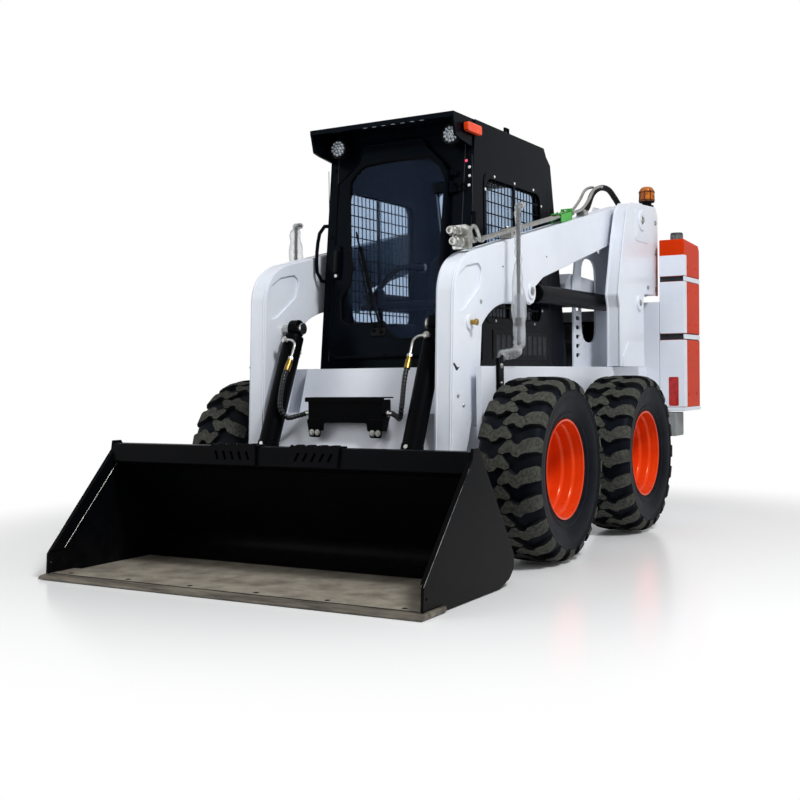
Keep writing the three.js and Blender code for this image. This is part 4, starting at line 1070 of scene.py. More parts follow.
def armOutline(slotted=False):
    py, pz = arm["pivot"]
    hy, hz = arm["bucketPin"]
    ey, ez = arm["liftEye"]
    toe = 58
    made = [kneeTop]
    made += bend(kneeTop, (-360, 1342), (-378, 1190), 12)
    made += [(-410, 540)]
    made += bend((-410, 540), (-425, 380), (hy - toe * 0.94, hz + toe * 0.5), 8)
    made += arc(hy, hz, toe, 153, 333, 16)
    made += soften([(-255, 420), (-242, 560), (-124, 872), (-104, 1050)], 60)[5:15]
    made += [(-104, 1050)]
    made += bend((-104, 1050), (20, 1165), (230, 1166), 12)
    if slotted:
        made += [(370, 1174), (378, 1297), (574, 1298)]
    else:
        made += [(400, 1176)] + arc(ey, ez, 66, -112, 21.6, 12)
    made += [(600, 1311)]
    made += arc(py, pz, arm["endRadius"], -75.6, topAngle, 24)
    return made


def boss(y, z, radius, x, high, finish, chamfer=2.0):  # a raised disc on a plate, facing outwards from x
    s = 1 if x > 0 else -1
    profile = [(0, -2), (radius, -2), (radius, high - chamfer), (radius - chamfer, high), (0, high)]
    return lathe(profile, (x, y, z), (s, 0, 0), finish, 32)


def weldBead(points, radius, finish):
    path = smoothPath(points, 10)
    return tube(path, radius, finish, 8, [radius * (0.85 + 0.3 * (i % 2)) for i in range(len(path))])


def leftArm():
    a = arm
    inner, outer = a["inner"], a["outer"]
    bore = disc(*a["pivot"], a["pivotPin"] + 1.5, 28)
    full, slotted = armOutline(), armOutline(True)
    recessed = dict(holes=[bore, soften(a["recess"], 30, 6)], edge=3.2, shrink=4.5)
    made = Parts()
    made.add(plate, full, inner, inner + a["skin"], white, **recessed)
    made.add(plate, full, inner + a["skin"] - 0.5, inner + a["cheek"], white, holes=[bore], edge=2.5)
    made.add(
        plate, slotted, inner + a["cheek"], outer - a["cheek"], white, holes=[bore], edge=0.8, shrink=2.2
    )
    made.add(plate, full, outer - a["cheek"], outer - a["skin"] + 0.5, white, holes=[bore], edge=2.5)
    made.add(plate, full, outer - a["skin"], outer, white, **recessed)
    # Pin ends, keepers and their bolts.
    made.add(boss, *a["tiltTop"], 34, outer, 9, white)
    made.add(rod, (outer + 8, *a["tiltTop"]), (outer + 30, *a["tiltTop"]), 11, brass, 20)
    made += hexHead((outer + 30, *a["tiltTop"]), (1, 0, 0), brass, 27, 11, False)
    made.add(rod, (inner - 1, *a["tiltTop"]), (a["tiltX"] - 38, *a["tiltTop"]), 20, zinc, 24)
    made.add(
        lathe, [(0, 0), (27, 0), (27, 8), (0, 8)], (a["tiltX"] - 36, *a["tiltTop"]), (-1, 0, 0), zinc, 24
    )
    made.add(rod, (inner + 1, *a["bucketPin"]), (inner - 34, *a["bucketPin"]), 22, zinc, 24)
    made.add(rod, (outer - 1, *a["bucketPin"]), (outer + 32, *a["bucketPin"]), 22, zinc, 24)
    made.add(boss, *a["liftEye"], 38, outer, 8, white)
    made += hexHead((outer + 7.6, *a["liftEye"]), (1, 0, 0), zinc, 27, 7)
    # A dark crescent sheet as painted shade in place of a hand slot, small studs down the leg and weld beads
    # at the toe.
    made.add(
        plate, soften([(-392, 878, 6), (-362, 846, 12), (-330, 868, 8), (-352, 862, 12), (-384, 884, 4)], 6),
        outer - 0.5, outer + 1.2, sealerAndPaintedShade, edge=0.5,
    )
    for y, z in ((-352, 742), (-300, 700), (-118, 1156)):
        made += hexHead((outer - 1, y, z), (1, 0, 0), zinc, 13, 6)
    for y, z in ((118, 1330), (640, 1420)):
        made.add(lathe, [(0, 0), (5, 0), (4, 2), (0, 3)], (outer - 0.4, y, z), (1, 0, 0), sealerAndPaintedShade, 12)
    made.add(
        weldBead,
        [(outer - 4, -396, 560), (outer - 4, -404, 470), (outer - 4, -430, 360), (outer - 4, -470, 268)], 4,
        white,
    )
    # Plates at the lower end that hold the coupler pin.
    toe = soften(
        [
            (-560, 150, 40), (-520, 118, 40), (-450, 128, 30), (-404, 300, 20), (-418, 400, 20),
            (-470, 300, 40),
        ],
        20,
    )
    made.add(plate, toe, outer - 0.6, outer + 5, white, edge=1.5)
    # Lug with a ring behind the leg, low down.
    made.add(
        plate, soften([(-262, 500), (-214, 470), (-196, 440), (-206, 410), (-250, 420)], 14), outer - 30,
        outer - 22, white, edge=1.5,
    )
    made.add(lathe, [(9, 0), (17, 0), (17, 8), (9, 8), (9, 0)], (outer - 22, -212, 436), (1, 0, 0), zinc, 20)
    return made


standInPair("liftArm{}Welded", "lift_arms", leftArm(), "{}_lift_arm", 32)
dress("arm_cross_member", white, 3)


# Front step on the cross member.
step = {"half": 210, "topZ": 738, "slots": 11, "teeth": 26}


def stepParts():
    made = Parts()
    x, top = step["half"], step["topZ"]
    # Sloping box face with the foot cut out of its lower middle.
    face = soften([
        (-x + 14, 586, 8), (-x + 92, 586, 6), (-x + 96, 622, 10), (x - 96, 622, 10), (x - 92, 586, 6),
        (x - 14, 586, 8),
        (x - 14, top - 12, 4), (-x + 14, top - 12, 4),
    ], 6)
    made.add(plate, face, -409, -400, black, "y", edge=2)
    for s in (1, -1):
        cheek = [(-400, 586), (-366, 586), (-330, 660), (-330, top - 12), (-400, top - 12)]
        made.add(plate, soften(cheek, 5), s * (x - 14), s * (x - 22), black, edge=2)
        ear = soften([(s * (x - 78), 556), (s * (x - 20), 556), (s * (x - 6), 640), (s * (x - 84), 640)], 12)
        made.add(plate, ear, -412, -404, black, "y", edge=2)
        for dx in (64, 34):
            made += hexHead((s * (x - dx), -411, 578), (0, -1, 0), zinc, 17, 8)
    # Tread with rows of slots and a serrated front edge.
    slots = []
    for k in range(step["slots"]):
        at = -x + 26 + k * (2 * x - 52) / (step["slots"] - 1)
        slots.append(rectangle(at - 11, at + 11, -396, -388, 3))
        slots.append(rectangle(at - 11, at + 11, -362, -354, 3))
    made.add(plate, rectangle(-x, x, -414, -326, 6), top - 6, top - 1, black, "z", slots, edge=1)
    teeth = [(-x, top - 22), (x, top - 22), (x, top - 3)]
    for k in range(step["teeth"]):
        at = x - (k + 0.5) * 2 * x / step["teeth"]
        teeth += [(at + 4, top - 3), (at, top), (at - 4, top - 3)]
    teeth += [(-x, top - 3)]
    made.add(plate, teeth, -415, -410, black, "y", edge=0.8)
    return made


standIn("frontStepPlate", "lift_arms", stepParts(), "front_step")


# Couplings and steel tubes along the left arm.
lines = {"blockY": -223, "lift": 34, "tubeRadius": 9, "spread": 18, "tubeEndY": 1090}
clampGreen = finishes["greenPaintedClamp"]


def couplingLines():
    made = Parts()
    y = lines["blockY"]
    bracket = soften(
        [
            (armMid - 41, 1382), (armMid + 41, 1382), (armMid + 41, 1470), (armMid + 24, 1490),
            (armMid - 41, 1488),
        ],
        10,
    )
    made.add(plate, bracket, y, y + 9, zinc, "y", edge=2)
    made.add(block, armMid - 38, armMid + 38, y + 9, y + 44, 1384, 1482, zinc, 2.5, 6)
    for x, z, reach in ((armMid - 10, 1458, 84), (armMid + 4, 1410, 86)):
        body = [
            (0, 0), (20, 0), (20, 10), (17, 12), (17, 22), (22, 24), (22, 44), (20.5, 46), (20.5, 49),
            (22, 51), (22, 62),
            (18, 65), (18, reach - 3), (16, reach), (11, reach), (11, reach - 12), (0, reach - 12),
        ]
        made.add(lathe, body, (x, y, z), (0, -1, 0), zinc, 28)
        made += hexHead((x, y + 1, z), (0, -1, 0), zinc, 40, 12, False)
    # Two tubes rise out of the block's back, bend down and follow the arm.
    start, end, lift = y + 44, lines["tubeEndY"] - 4, lines["lift"]
    for k in (-1, 1):
        x = armMid + k * lines["spread"]
        path = [(x, start + dy, z) for dy, z in ((-4, 1466), (16, 1474), (44, 1492), (78, 1484))]
        path.append((x, start + 112, armTop(start + 112) + 44))
        path += [(x, at, armTop(at) + lift) for at in (start + 150, 420, 860, end)]
        made.add(tube, smoothPath(path, 8), lines["tubeRadius"], zinc, 14)
        for at in (-60, end - 36):
            base = Vector((x, at, armTop(at) + lift))
            along = Vector((0, 1, beamRise)).normalized()
            made.add(lathe, [(0, 0), (14, 0), (14, 22), (12, 24), (12, 30), (0, 30)], base, along, zinc, 6)
        # Past the clamp they rise beside the ribbed hose over the pivot.
        rise = armMid + k * 27
        path = [(x, end, armTop(lines["tubeEndY"]) + lift)]
        path += [(rise, at, armTop(at) + up) for at, up in ((1190, 44), (1290, 84), (1370, 130))]
        path += [(rise, 1450, 1884), (rise, 1500, 1892)]
        made.add(tube, smoothPath(path, 8), lines["tubeRadius"] - 1, zinc, 14)
    lean = math.atan(beamRise)

    def onArm(y0, length, up0, up1):
        return [
            (y0, armTop(y0) + up0), (y0 + length, armTop(y0 + length) + up0),
            (y0 + length, armTop(y0 + length) + up1), (y0, armTop(y0) + up1),
        ]

    made.add(plate, soften(onArm(250, 30, 1, 50), 5), armMid - 30, armMid + 30, zinc, edge=2)
    made += hexHead((armMid, 266, armTop(266) + 49), (0, -math.sin(lean), math.cos(lean)), zinc, 17, 8)
    # The green clamp is a channel over the tubes.
    for s in (1, -1):
        made.add(
            plate, soften(onArm(880, 150, 1, 50), 6), armMid + s * 30, armMid + s * 26, clampGreen, edge=1.2
        )
    made.add(plate, soften(onArm(880, 150, 45, 50), 2), armMid - 30, armMid + 30, clampGreen, edge=1.2)
    made.add(plate, soften(onArm(1022, 8, 1, 62), 2), armMid - 32, armMid + 32, clampGreen, edge=1.2)
    for at in (910, 1000):
        made += hexHead((armMid, at, armTop(at) + 50), (0, -math.sin(lean), math.cos(lean)), zinc, 15, 7)
    return made


standIn("couplingLinesPlated", "lift_arms", couplingLines(), "hose_coupler")


# Hoses.
# Builds a hose from its route in millimetres; ribs or a spiral guard come from its radii.
def makeHose(name, body, route, look, replaces, slot, fittings=()):
    path = smoothPath(route, look["between"])
    fine = smoothPath(path, look["fine"])
    pitch = look["ribMm"]
    run, radii = 0.0, []
    for i, at in enumerate(fine):
        run += (at - fine[i - 1]).length if i else 0
        phase = (run / pitch) % 1
        radii.append(look["radius"] - look["ribDeep"] * (0.5 + 0.5 * math.cos(2 * math.pi * phase)))
    piece = makePiece(
        name, body, [tube(fine, look["radius"], look["finish"], 16, radii)], replaces, slot, 60, False
    )
    ends = [makePiece(f"{name}End{i}", body, parts, slot="hose_coupler") for i, parts in enumerate(fittings)]
    return piece


hump = {"radius": 17, "ribMm": 12, "ribDeep": 2.2, "between": 8, "fine": 4, "finish": hoseBlack}
x = armMid
humpRoute = [
    (x, 1240, armTop(1240) + 20), (x, 1330, armTop(1330) + 34), (x, 1420, armTop(1420) + 104),
    (x, 1540, 1892),
    (x, 1680, 1902), (x, 1790, 1868), (x, 1850, 1842),
]
foot = [(y, armTop(y) + up) for y, up in ((1230, 1), (1290, 1), (1290, 24), (1230, 24))]
clampFoot = [plate(soften(foot, 5), x - 24, x + 24, zinc, edge=2)]
collar = [(0, 0), (21, 0), (21, 12), (18.5, 16), (18.5, 52), (0, 52)]
humpStart = [lathe(collar, Vector(humpRoute[0]) - Vector((0, 14, 3)), Vector((0, 1, 0.2)), zinc, 24)]
makeHose(
    "pivotHoseRibbed", "lift_arms", humpRoute, hump, ["pivot_hose"], "pivot_hose", [clampFoot + humpStart]
)

tiltHose = {
    "radius": 12, "ribMm": 16, "ribDeep": 1.8, "between": 8, "fine": 4,
    "finish": finishes["spiralGuardPlastic"],
}
for side, s in sides:
    route = [
        (s * 198.3, -372, 664), (s * 224, -372, 664), (s * 264, -394, 652), (s * 300, -432, 646),
        (s * 322, -452, 700),
        (s * 322, -424, 820), (s * 318, -376, 905),
    ]
    start = [
        lathe(
            [(0, 0), (15, 0), (15, 10), (12.5, 13), (12.5, 34), (0, 34)], (s * 199, -372, 664), (s, 0, 0),
            zinc, 20,
        )
    ]
    top = Vector(route[-1])
    ahead = (top - Vector(route[-2])).normalized()
    crimp = Parts()
    crimp.add(
        lathe, [(0, 0), (14.5, 0), (14.5, 44), (12, 48), (12, 60), (0, 60)], top - ahead * 52, ahead, brass,
        20,
    )
    crimp.add(lathe, [(0, 0), (13, 0), (13, 14), (0, 14)], top + ahead * 6, ahead, zinc, 6)
    # A steel pipe leads on from the nut to a banjo on the barrel's upper port.
    port = Vector((s * 380, -328, 1006))
    up = Vector((0, -0.918, 0.396))
    run = [
        top + ahead * 18, top + ahead * 44, Vector((s * 318, -336, 984)), Vector((s * 340, -328, 1003)), port
    ]
    crimp.add(tube, smoothPath(run, 6), 6.5, zinc, 12)
    crimp.add(lathe, [(0, -9), (15, -9), (16, -7), (16, 7), (15, 9), (0, 9)], port, up, zinc, 24)
    crimp += hexHead(port + up * 8.5, up, zinc, 20, 5, False)
    makeHose(
        f"tiltHose{side.title()}Wrapped", "lift_arms", route, tiltHose, [f"{side}_tilt_hose"],
        f"{side}_tilt_hose", [start, crimp],
    )
print("arms and hoses built")


# Uprights behind the cab.
upright = {
    "inner": [(1290, 868.3), (2035, 868.3), (2035, 1812), (1640, 1800), (1340, 1520), (1290, 1330)],
    "outer": [
        (1432, 868.3, 2), (1850, 868.3, 2), (1850, 1280, 20), (1880, 1300, 20), (2130, 1300, 4),
        (2130, 1790, 30), (2085, 1836, 30), (1640, 1812, 60), (1566, 1770, 60), (1500, 1600, 80),
        (1405, 1270, 40), (1432, 1200, 40),
    ],
    "innerX": (418, 430),
    "outerX": (570, 650),
    "wall": 10,
    "slots": 6,
    "windowY": (1410, 1640),
    "windowZ": (1010, 1490),
    "pivot": (1810, 1725),
    "liftBase": (1760, 1240),
    "hoodPin": (1330, 1296),
}


def leftUpright():
    u = upright
    x0, x1 = u["innerX"]
    holes = [rectangle(*u["windowY"], *u["windowZ"], 100)]
    for k in range(u["slots"]):
        holes.append(rectangle(1325, 1385, 925 + 52 * k, 947 + 52 * k, 10))
    holes.append(disc(1700, 1560, 26, 24))
    made = Parts()
    made.add(plate, u["inner"], x0, x1, white, holes=holes, edge=2)
    a, b = u["outerX"]
    post = soften(u["outer"], 30, 6)
    made.add(plate, post, b - u["wall"], b, white, edge=3)
    made.add(plate, post, a, a + u["wall"], white, edge=2)
    made.add(plate, post, a + 8, b - 8, white, edge=0.6, shrink=5)
    made.add(block, x1 - 1, a + 1, 2020, 2035, 868.3, 1780, white, 2)
    # Pivot, cylinder and hood pins with their bosses, keepers and bolts.
    y, z = u["pivot"]
    made.add(rod, (x0, y, z), (b - 1, y, z), 30, zinc, 28)
    made.add(
        lathe, [(0, 0), (60, 0), (60, 9), (57, 12), (34, 12), (33, 10), (0, 10)], (b - 0.5, y, z), (1, 0, 0),
        white, 48,
    )
    made += hexHead((b + 9.4, y, z), (1, 0, 0), zinc, 30, 9)
    made.add(lathe, [(0, 0), (44, 0), (44, 12), (0, 12)], (x0 + 0.5, y, z), (-1, 0, 0), white, 32)
    y, z = u["liftBase"]
    made.add(rod, (x1 - 1, y, z), (b - 1, y, z), 25, zinc, 28)
    made.add(lathe, [(0, 0), (45, 0), (45, 8), (42, 11), (0, 11)], (b - 0.5, y, z), (1, 0, 0), white, 40)
    made += hexHead((b + 9.4, y, z), (1, 0, 0), zinc, 24, 8)
    y, z = u["hoodPin"]
    made.add(rod, (x0 - 5, y, z), (x0 + 1, y, z), 10, zinc, 20)
    # Plates over the arm's end, a gusset to the fender and a few heads on the post.
    made.add(
        plate,
        soften(
            [(1700, 1600, 30), (1930, 1600, 30), (1960, 1660, 40), (1940, 1790, 40), (1700, 1790, 30)], 30, 6
        ),
        b - 0.6, b + 3, white, edge=1.2,
    )
    gusset = soften(
        [
            (1470, 869, 3), (1840, 869, 3), (1840, 950, 30), (1800, 1010, 60), (1560, 1010, 60),
            (1470, 930, 30),
        ],
        30, 6,
    )
    made.add(plate, gusset, b - 0.6, b + 4, white, edge=1.2)
    for py, pz in ((2080, 1340), (2080, 1560), (2080, 1740), (1930, 1340)):
        made += hexHead((b - 0.5, py, pz), (1, 0, 0), zinc, 19, 8)
    for py, pz in ((1700, 905), (1990, 905), (1990, 1500)):
        made += hexHead((x0, py, pz), (-1, 0, 0), zinc, 17, 8)
    return made


standInPair("upright{}Welded", "chassis", leftUpright(), "{}_upright", 32)


# Cylinders.
def ringOf(inner, outer, wide, chamfer=2.0):  # profile of an eye's ring, to be turned about its pin
    w = wide / 2
    return [
        (inner, -w), (outer - chamfer, -w), (outer, -w + chamfer), (outer, w - chamfer), (outer - chamfer, w),
        (inner, w), (inner, -w),
    ]


cylinders = {
    "lift": {
        "x": 497, "base": (1760, 1240), "eye": (440, 1235), "bore": 50, "start": 52, "end": 1180,
        "lug": (48, 60), "pin": 25,
        "rod": 25, "rodFrom": 100, "rodEye": (44, 50),
    },
    "tilt": {
        "x": 380, "base": (-235, 1060), "eye": (-550, 330), "bore": 50, "start": 40, "end": 640,
        "lug": (42, 44), "pin": 20,
        "rod": 22, "rodFrom": 140, "rodEye": (36, 46),
    },
}


def cylinder(look, s, portSide):
    base = Vector((look["x"] * s, *look["base"]))
    eye = Vector((look["x"] * s, *look["eye"]))
    along = (eye - base).normalized()
    length = (eye - base).length
    r = look["bore"]
    a, b = look["start"], look["end"]
    body = [
        (0, a), (r - 8, a), (r - 4, a + 3), (r - 3, a + 12), (r - 3, b - 66), (r - 0.5, b - 64),
        (r - 0.5, b - 8), (r - 3, b - 4),
        (r - 8, b - 1), (r * 0.76, b), (look["rod"] + 6, b), (look["rod"] + 4, b - 3),
        (look["rod"] + 0.6, b - 3), (look["rod"] + 0.6, b - 30), (0, b - 30),
    ]
    barrel = Parts()
    barrel.add(lathe, body, base, along, black, 44)
    barrel.add(lathe, [(r - 3, b - 58), (r - 0.2, b - 56), (r - 3, b - 54)], base, along, sealerAndPaintedShade, 44)
    outer, wide = look["lug"]
    barrel.add(lathe, ringOf(look["pin"] + 0.6, outer, wide), base, (1, 0, 0), black, 36)
    neck = [(0, 20), (outer * 0.62, 20), (outer * 0.62, a + 2), (0, a + 2)]
    barrel.add(lathe, neck, base, along, black, 28)
    barrel.add(
        lathe, [(outer * 0.60, a - 8), (outer * 0.60 + 5, a), (outer * 0.60, a + 4)], base, along, black, 28
    )
    # Ports at both ends with their unions, and a grease nipple.
    up = Vector(portSide).normalized()
    up = (up - along * up.dot(along)).normalized()
    for at in (a + 46, b - 40):
        foot = base + along * at + up * (r - 6)
        barrel.add(rod, foot, foot + up * 9, 13, black, 20)
        barrel.add(lathe, [(0, 0), (10, 0), (10, 8), (0, 8)], foot + up * 5, up, zinc, 6)
    grease = base + along * -(outer - 3)
    barrel.add(lathe, [(0, 0), (4.5, 0), (4.5, 4), (2.5, 5), (2.5, 8), (0, 8)], grease, -along, brass, 12)
    stem = length - look["rodEye"][0] * 0.8
    shaft = Parts()
    shaft.add(
        lathe, [(0, look["rodFrom"]), (look["rod"], look["rodFrom"]), (look["rod"], stem), (0, stem)], base,
        along, chrome, 36,
    )
    outer, wide = look["rodEye"]
    shaft.add(lathe, ringOf(look["pin"] + 0.6, outer, wide), eye, (1, 0, 0), black, 36)
    shaft.add(
        lathe, [(0, 0), (look["rod"] + 5, 0), (look["rod"] + 5, 12), (look["rod"] + 0.2, 16), (0, 16)],
        base + along * (stem + 4), -along, black, 32,
    )
    return barrel, shaft


for kind, portSide in (("lift", (0, 0, 1)), ("tilt", (0, -1, 0.2))):
    for side, s in sides:
        barrel, shaft = cylinder(cylinders[kind], s, portSide)
        node = f"{side}_{kind}_barrel"
        standIn(f"{kind}Barrel{side.title()}", node, barrel, node)
        node = f"{side}_{kind}_rod"
        standIn(f"{kind}Rod{side.title()}", node, shaft, node)
print("uprights and cylinders built")


# Lower frame.
dress("main_frame", white, 3)
dress("engine_block", castGrey, 4)
dress("seat_base", plastic, 5)


# Bolts and covers on the lower frame, with tread grip on the fenders.
def frameTrim():
    made = Parts()
    for s in (1, -1):
        for y in (-215, -120, 60, 260, 900, 1100):
            made += hexHead((s * 590, y, 585), (s, 0, 0), zinc, 17, 7)
        made.add(plate, rectangle(190, 760, 330, 520, 24, 6), s * 589.5, s * 595, white, edge=1.5)
        for y, z in ((210, 350), (740, 350), (210, 500), (740, 500), (475, 350), (475, 500)):
            made += hexHead((s * 594.5, y, z), (s, 0, 0), zinc, 15, 6)
        for k in range(9):
            made.add(block, s * 450, s * 588, 40 + 36 * k, 52 + 36 * k, 867.6, 870.2, black, 0.8)
        for y in (-60, 1500, 1700, 1900):
            made += hexHead((s * 588, y, 868), (0, 0, 1), zinc, 15, 5)
    return made


makePiece("frameTrim", "chassis", frameTrim(), slot="main_frame")


# Filler caps, air filter, intake hose and a cover on the engine.
def engineTrim():
    made = Parts()
    for x in (-180, -60, 60, 180):
        made.add(
            lathe, [(0, 0), (44, 0), (44, 12), (38, 18), (0, 18)], (x, 1560, 1019), (0, 0, 1), castGrey, 28
        )
    made.add(
        lathe, [(0, 0), (52, 0), (54, 4), (54, 120), (48, 128), (0, 128)], (-190, 1850, 1019), (0, 0, 1),
        black, 32,
    )
    made.add(
        tube, smoothPath([(-190, 1790, 1090), (-60, 1760, 1110), (60, 1700, 1080), (120, 1600, 1040)], 8), 24,
        hoseBlack, 16,
    )
    made.add(block, 60, 250, 1740, 1930, 1019, 1130, castGrey, 5, 12)
    return made


makePiece("engineTrim", "chassis", engineTrim(), slot="engine_block")


# Cab.
dress("cab_shell", cabBlack, 4)
dress("cab_roof", cabBlack, 2)
for name in ("cab_window_left", "cab_window_right", "cab_window_rear"):
    dress(name, glass, 1)
cabSide = {
    "windowY": (240, 890),
    "windowZ": (1105, 1775),
    "corner": 55,
    "upright": 17,  # spaces between upright bars
    "level": 12,
    "bar": 6,
    "band": 26,
}


def ringPlate(outer, inner, low, high, finish, edge=1.5):
    return plate(outer, low, high, finish, holes=[inner], edge=edge)


screwHead = [(0, 0), (7, 0), (6.5, 2.5), (4, 4), (0, 4)]


def sideWindowTrim(s):
    c = cabSide
    y0, y1 = c["windowY"]
    z0, z1 = c["windowZ"]
    made = Parts()
    x = cab["half"]

    def opening(grown, corner):
        return rectangle(y0 - grown, y1 + grown, z0 - grown, z1 + grown, corner)

    # Rubber seal in the opening, then the guard: a frame, a mesh of bars and its screws.
    corner, band, half = c["corner"], c["band"], c["bar"] / 2
    seal = opening(1, corner), opening(-9, corner - 9)
    made.add(ringPlate, *seal, s * (x - 26), s * (x - 12), gasket, edge=2.5)
    made.add(ringPlate, opening(band, corner + 8), opening(-2, corner), s * (x - 0.6), s * (x + 4), cabBlack)
    midY, midZ = (y0 + y1) / 2, (z0 + z1) / 2
    made.add(block, s * (x - 7), s * (x + 3.6), midY - 12, midY + 12, z0 - 4, z1 + 4, cabBlack, 1.2)
    for k in range(1, c["upright"]):
        y = y0 + (y1 - y0) * k / c["upright"]
        drop = cornerDrop(y, y0, y1, corner)
        made.add(block, s * (x - 9), s * (x - 5), y - half, y + half, z0 + drop, z1 - drop, cabBlack, 0.7)
    for k in range(1, c["level"]):
        z = z0 + (z1 - z0) * k / c["level"]
        drop = cornerDrop(z, z0, z1, corner)
        made.add(block, s * (x - 6), s * (x - 2), y0 + drop, y1 - drop, z - half, z + half, cabBlack, 0.7)
    spots = [(y, z) for y in (y0 - 13, y1 + 13) for z in (z0 + 60, midZ, z1 - 60)]
    spots += [(y, z) for z in (z0 - 13, z1 + 13) for y in (y0 + 90, midY, y1 - 90)]
    for y, z in spots:
        made.add(lathe, screwHead, (s * (x + 3.5), y, z), (s, 0, 0), smallWhite, 16)
    # Seams of the side panel and the rear corner.
    for y in (96, 1010):
        made.add(tube, [(s * (x + 0.2), y, 900), (s * (x + 0.2), y, 1860)], 1.6, sealerAndPaintedShade, 6)
    # Vertical fins low on the side, behind the arm's knee.
    for k in range(7):
        made.add(block, s * (x - 0.5), s * (x + 5), 30 + k * 24, 38 + k * 24, 900, 1075, cabBlack, 1.2)
    made.add(block, s * (x - 0.5), s * (x + 4), 300, 980, 905, 1050, plastic, 2)
    for k in range(10):
        made.add(block, s * (x + 3.4), s * (x + 5.4), 330 + k * 64, 372 + k * 64, 930, 1026, sealerAndPaintedShade, 0.8)
    return made


def cornerDrop(at, low, high, radius):  # how far a rounded corner cuts into a bar
    reach = min(at - low, high - at)
    return 0 if reach >= radius else radius - math.sqrt(max(radius ** 2 - (radius - reach) ** 2, 0))


for side, s in sides:
    makePiece(f"windowGuard{side.title()}", "chassis", sideWindowTrim(s), slot="cab_shell")


frontOut = frontPoint(0, 0, 1) - frontPoint(0, 0, 0)


def frontTrim():
    made = Parts()
    # Hinge knuckles and their bolts, screws down both pillars and a seam beside them.
    for up in (190, 850):
        for k in range(3):
            at = frontPoint(300, up - 19 + 19 * k, 22)
            made.add(
                lathe, [(0, -9), (10, -9), (11, -8), (11, 8), (10, 9), (0, 9)], at,
                frontPoint(0, 1, 0) - frontPoint(0, 0, 0), cabBlack, 20,
            )
        for dx in (34, 62):
            for lift in (-12, 12):
                made += hexHead(frontPoint(300 + dx, up + lift, 5), frontOut, black, 13, 5)
    for s in (1, -1):
        for up in (60, 300, 660, 1000):
            made += hexHead(frontPoint(s * 372, up, -0.5), frontOut, black, 13, 5)
        made.add(
            plate, [(s * 352, 40), (s * 356, 40), (s * 356, 1060), (s * 352, 1060)], -0.5, 1.2, sealerAndPaintedShade,
            "front", edge=0.4,
        )
    # A pink lamp over three white caps on the left pillar.
    for x, up in ((362, 975), (380, 943), (383, 901), (382, 856)):
        finish = finishes["ledPinkLens"] if x == 362 else smallWhite
        cap = [(0, 0), (7, 0), (7, 3), (5, 5), (0, 5.5)]
        made.add(lathe, cap, frontPoint(x, up, -0.3), frontOut, finish, 20)
    return made


makePiece("cabFrontTrim", "chassis", frontTrim(), slot="cab_shell")


# The cab's rear wall slopes forward from its foot to the roof.
rear = {"footY": 1262, "headY": 1040, "low": 868.3, "high": 1950}
rearLean = math.atan2(rear["footY"] - rear["headY"], rear["high"] - rear["low"])


def onRear(x, z, out):
    y = rear["footY"] - (z - rear["low"]) * math.tan(rearLean) + out * math.cos(rearLean)
    return Vector((x, y, z + out * math.sin(rearLean)))


def rearTrim():
    made = Parts()
    # Seal of the rear window, screws under it and beads across the wall.
    ring = [onRear(x, z, 2) for x, z in rectangle(-296, 296, 1414, 1866, 40)]
    made.add(tube, [*ring, ring[0]], 6, gasket, 8)
    for x in (-240, 0, 240):
        made += hexHead(onRear(x, 1388, -0.5), (0, math.cos(rearLean), math.sin(rearLean)), zinc, 13, 5)
    for k in range(8):
        made.add(tube, [onRear(x, 960 + 44 * k, 1) for x in (-220, 220)], 4, cabBlack, 8)
    return made


makePiece("cabRearTrim", "chassis", rearTrim(), slot="cab_shell")


# Roof: lamps, markers and lifting eyes.
def workLamp(s):
    x, z, front, r = s * 313, 1955, 46, 47
    body = [(0, 52), (20, 52), (34, 40), (r, 30), (r + 0.8, 3), (r - 1, 0), (r - 4, 0), (r - 5, 5), (0, 5)]
    made = Parts()
    made.add(lathe, body, (x, front, z), (0, 1, 0), plastic, 36)
    # Reflector cups, whose glow is painted light standing in for the light on them.
    cup = [(0, 4), (2.2, 4), (6.6, 0), (7.3, 0), (7.3, 6), (0, 6)]
    for ring, count in ((0, 1), (15, 6), (30, 11)):
        for u, v in disc(x, z, ring, count):
            made.add(lathe, cup, (u, front - 0.5, v), (0, 1, 0), finishes["lampReflectorPaintedGlow"], 12)
    return made


def roofParts():
    made = Parts()
    for s in (1, -1):
        made += workLamp(s)
        made.add(block, s * 400, s * 404, 10, 156, 1954, 1996, cabBlack, 1.2)
        # Marker lens at each front corner; its glow is painted light.
        lens = rectangle(9, 157, 1953, 1997, 9)
        made.add(plate, lens, s * 401, s * 425, orangeLensGlowPainted, edge=4)
        for k in range(11):
            made.add(block, s * 424, s * 425.8, 22 + k * 12, 26 + k * 12, 1960, 1990, orangeLensGlowPainted, 0.5)
        made.add(
            plate,
            soften(
                [
                    (540, 2029, 4), (622, 2029, 4), (606, 2060, 14), (593, 2074, 12), (569, 2074, 12),
                    (556, 2060, 14),
                ],
                10,
            ),
            s * 350, s * 360, cabBlack, holes=[disc(581, 2050, 13)], edge=1.5,
        )
        for y in (190, 420, 720, 930):
            made += hexHead((s * 372, y, 2029.6), (0, 0, 1), zinc, 15, 6)
        made.add(tube, [(s * 330, 180, 2030), (s * 330, 940, 2030)], 3, cabBlack, 6)
    # Shallow beads across the roof sheet.
    for k in range(5):
        y = 250 + 140 * k
        made.add(block, -280, 280, y, y + 26, 2028, 2033, cabBlack, 2, 3)
    return made


makePiece("roofLampsAndBeads", "chassis", roofParts(), slot="cab_roof")
print("cab built")


